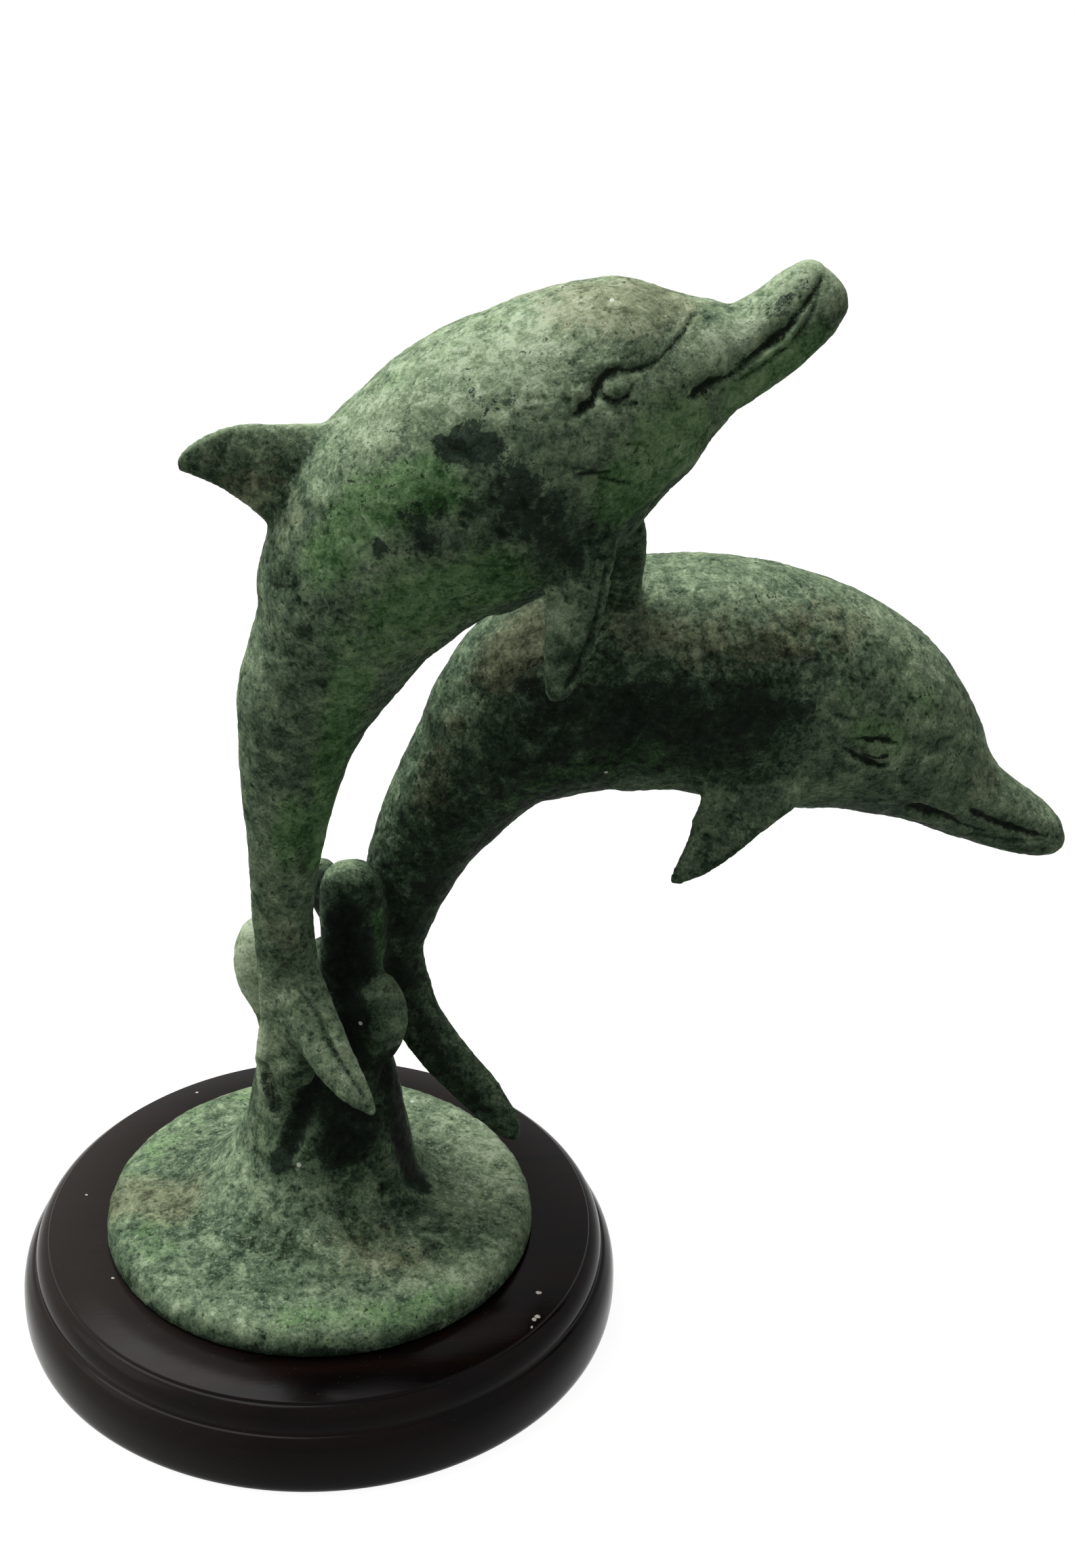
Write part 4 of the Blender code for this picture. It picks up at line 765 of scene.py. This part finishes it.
def lacqueredMahogany():
    # turned, stained and sprayed with satin lacquer: near black, with a warm depth and a soft sheen
    material, tree, shader = newMaterial("mahogany, satin black-brown lacquer")
    place = addNode(tree, "TexCoord").outputs["Object"]
    scaled = addNode(tree, "Mapping", {"Scale": (1000, 1000, 1000)}, {"Vector": place}).outputs[0]
    # the boards run along X: pores 13 mm long, 0.8 mm wide, drawn wide enough to show
    drawn = addNode(tree, "Mapping", {"Scale": (1000 / 16, 1000, 1000)}, {"Vector": place}).outputs[0]
    pores = addNode(tree, "TexNoise", {"Scale": 1 / 0.8, "Detail": 4, "Roughness": 0.6}, {"Vector": drawn})
    figure = addNode(tree, "TexNoise", {"Scale": 1 / 9, "Detail": 3, "Roughness": 0.5, "Distortion": 0.8},
                     {"Vector": drawn})
    grime = addNode(tree, "TexNoise", {"Scale": 1 / 22, "Detail": 5, "Roughness": 0.65}, {"Vector": scaled})
    specks = addNode(tree, "TexNoise", {"Scale": 1 / 0.9, "Detail": 2, "Roughness": 0.6}, {"Vector": scaled})
    tint = addNode(tree, "ValToRGB", {}, {"Fac": figure}, ((0.3, plinth["lacquer"]), (0.75, plinth["warm"])))
    dustAndSheen = addNode(tree, "MapRange", {1: 0.70, 2: 0.78, 3: 0.0, 4: 0.35}, {0: specks})
    # painted reflection: the lacquer grows paler towards the left in the dust colour, standing in for the sheen of the
    # light there
    side = addNode(tree, "SeparateXYZ", {}, {0: scaled}).outputs["X"]
    paintedLeftReflection = addNode(tree, "MapRange", {1: -15.0, 2: -80.0, 3: 0.0, 4: 0.20}, {0: side})
    dustAndSheen = addNode(tree, "Math", {"operation": "ADD", "use_clamp": True}, {0: dustAndSheen, 1: paintedLeftReflection})
    tint = addNode(tree, "Mix", {"data_type": "RGBA", 7: plinth["dustAndSheen"]}, {0: dustAndSheen, 6: tint}).outputs[2]
    warp = addNode(tree, "VectorMath", {"operation": "SCALE", "Scale": 1.4}, {0: addNode(
        tree, "TexNoise", {"Scale": 1 / 1.1, "Detail": 3}, {"Vector": scaled}).outputs["Color"]}).outputs[0]
    warped = addNode(tree, "VectorMath", {"operation": "ADD"}, {0: scaled, 1: warp}).outputs[0]
    chips = None
    for x, y, size in plinth["chips"]:
        centre = (x + 0.7, y + 0.7, 27.3)      # moved by the warp's own mean
        gap = addNode(tree, "VectorMath", {"operation": "DISTANCE", 1: centre}, {0: warped}).outputs[1]
        spot = addNode(tree, "MapRange", {1: size * 0.8, 2: size, 3: 1.0, 4: 0.0}, {0: gap})
        chips = addNode(tree, "Math", {"operation": "MAXIMUM"}, {0: chips, 1: spot}) if chips else spot
    tint = addNode(tree, "Mix", {"data_type": "RGBA", 7: plinth["chip"]}, {0: chips, 6: tint}).outputs[2]
    tree.links.new(tint, shader.inputs["Base Color"])
    sheen = addNode(tree, "MapRange", {1: 0.3, 2: 0.75, 3: 0.12, 4: 0.24}, {0: grime}).outputs[0]
    sheen = addNode(tree, "Math", {"operation": "MULTIPLY_ADD", 1: 0.4}, {0: chips, 2: sheen}).outputs[0]
    tree.links.new(sheen, shader.inputs["Roughness"])
    shader.inputs["IOR"].default_value = 1.5
    shader.inputs["Specular IOR Level"].default_value = 0.07
    height = addNode(tree, "Math", {"operation": "MULTIPLY_ADD", 1: 0.35}, {0: pores, 2: grime}).outputs[0]
    height = addNode(tree, "Math", {"operation": "MULTIPLY_ADD", 1: -1.5}, {0: chips, 2: height}).outputs[0]
    bump = addNode(tree, "Bump", {"Strength": 0.25, "Distance": 0.15 * mm}, {"Height": height})
    tree.links.new(bump.outputs[0], shader.inputs["Normal"])
    return material


wood = turnPlinth()
wood.data.materials.append(lacqueredMahogany())
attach(wood, "root")
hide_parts("wooden_plinth")
print("plinth turned")


# The hidden fixings and the felt keep their CAD shapes
fixings = dict(screwZinc="#a9abae", washerZinc="#9c9ea0", dulledZinc="#6f7276", felt="#151517", lint="#2c2c30")


def zincPlate(name, colour, rough):
    # rolled or headed mild steel with bright zinc plating, dulled in patches
    material, tree, shader = newMaterial(name)
    place = addNode(tree, "TexCoord").outputs["Object"]
    spangle = addNode(tree, "TexNoise", {"Scale": 700, "Detail": 4, "Roughness": 0.6}, {"Vector": place}).outputs["Fac"]
    tint = addNode(tree, "ValToRGB", {}, {"Fac": spangle}, ((0.3, fixings["dulledZinc"]), (0.7, colour))).outputs[0]
    tree.links.new(tint, shader.inputs["Base Color"])
    worn = addNode(tree, "MapRange", {1: 0.3, 2: 0.7, 3: rough - 0.08, 4: rough + 0.14}, {0: spangle}).outputs[0]
    tree.links.new(worn, shader.inputs["Roughness"])
    shader.inputs["Metallic"].default_value = 1.0
    bump = addNode(tree, "Bump", {"Strength": 0.15, "Distance": 0.05 * mm}, {"Height": spangle})
    tree.links.new(bump.outputs[0], shader.inputs["Normal"])
    return material


def pressedFelt():
    # pressed black wool felt: matt, with fibres lying every way at about half a millimetre
    material, tree, shader = newMaterial("black wool felt, pressed")
    place = addNode(tree, "TexCoord").outputs["Object"]
    fibres = addNode(tree, "TexNoise", {"Scale": 1900, "Detail": 5, "Roughness": 0.7, "Distortion": 1.5},
                     {"Vector": place}).outputs["Fac"]
    tint = addNode(tree, "ValToRGB", {}, {"Fac": fibres}, ((0.35, fixings["felt"]), (0.75, fixings["lint"]))).outputs[0]
    tree.links.new(tint, shader.inputs["Base Color"])
    worn = addNode(tree, "MapRange", {1: 0.3, 2: 0.7, 3: 0.88, 4: 1.0}, {0: fibres}).outputs[0]
    tree.links.new(worn, shader.inputs["Roughness"])
    shader.inputs["Sheen Weight"].default_value = 0.3
    shader.inputs["Sheen Roughness"].default_value = 0.6
    bump = addNode(tree, "Bump", {"Strength": 0.5, "Distance": 0.2 * mm}, {"Height": fibres})
    tree.links.new(bump.outputs[0], shader.inputs["Normal"])
    return material


for nodeName, finish in (
    ("fixing_screw", zincPlate("zinc plated screw steel", fixings["screwZinc"], 0.3)),
    ("screw_washer", zincPlate("zinc plated washer steel", fixings["washerZinc"], 0.38)),
    ("felt_pad", pressedFelt()),
):
    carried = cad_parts[nodeName]
    if not carried.material_slots:
        carried.data.materials.append(finish)
    for slot in carried.material_slots:
        slot.material = finish
print("fixings and felt finished")


# Floor and light
studio = dict(
    key=17.0, keySize=1.0, keyPlace=(-0.35, 0.34, 1.35),
    side=2.6, sideSize=0.8, sidePlace=(-1.2, -0.1, 0.75),
    aim=(0.06, 0, 0.16),
    world=0.27,
    floorGlow=0.93, floorSeen="#ffffff", floorBounce="#8b8b88",
)


def paleFloor():
    shape = bmesh.new()
    bmesh.ops.create_grid(shape, x_segments=1, y_segments=1, size=4.0)
    mesh = bpy.data.meshes.new("paleFloor")
    shape.to_mesh(mesh)
    shape.free()
    floor = bpy.data.objects.new("paleFloor", mesh)
    bpy.context.scene.collection.objects.link(floor)
    material = bpy.data.materials.new("white paper sweep")
    material.use_nodes = True
    tree = material.node_tree
    tree.nodes.clear()
    path = addNode(tree, "LightPath")
    seen = addNode(tree, "Math", {"operation": "MAXIMUM"},
                   {0: path.outputs["Is Camera Ray"], 1: path.outputs["Is Glossy Ray"]})
    seen = addNode(tree, "Math", {"operation": "MAXIMUM"}, {0: seen, 1: path.outputs["Is Transmission Ray"]})
    matt = addNode(tree, "BsdfDiffuse", {"Color": studio["floorBounce"]})
    glow = addNode(tree, "Emission", {"Color": studio["floorSeen"], "Strength": studio["floorGlow"]})
    lit = addNode(tree, "AddShader", {}, {0: matt, 1: glow})
    chosen = addNode(tree, "MixShader", {}, {0: seen, 1: matt, 2: lit})
    addNode(tree, "OutputMaterial", {}, {"Surface": chosen})
    mesh.materials.append(material)


def addLamp(name, place, size, power):
    data = bpy.data.lights.new(name, "AREA")
    data.shape = "SQUARE"
    data.size = size
    data.energy = power
    lamp = bpy.data.objects.new(name, data)
    bpy.context.scene.collection.objects.link(lamp)
    lamp.location = place
    lamp.rotation_euler = (Vector(studio["aim"]) - Vector(place)).to_track_quat("-Z", "Y").to_euler()


def lightStudio():
    addLamp("overheadSoftbox", studio["keyPlace"], studio["keySize"], studio["key"])
    addLamp("leftFill", studio["sidePlace"], studio["sideSize"], studio["side"])
    world = bpy.data.worlds.new("whiteStudio")
    bpy.context.scene.world = world
    world.use_nodes = True
    tree = world.node_tree
    tree.nodes.clear()
    path = addNode(tree, "LightPath")
    seen = addNode(tree, "Math", {"operation": "MAXIMUM"},
                   {0: path.outputs["Is Camera Ray"], 1: path.outputs["Is Glossy Ray"]})
    seen = addNode(tree, "Math", {"operation": "MAXIMUM"}, {0: seen, 1: path.outputs["Is Transmission Ray"]})
    strength = addNode(tree, "MapRange", {1: 0.0, 2: 1.0, 3: studio["world"], 4: 1.0}, {0: seen})
    sky = addNode(tree, "Background", {"Color": "#ffffff"}, {"Strength": strength})
    addNode(tree, "OutputWorld", {}, {"Surface": sky})


paleFloor()
lightStudio()
bpy.context.scene.view_settings.view_transform = "Standard"
print("floor and light set")
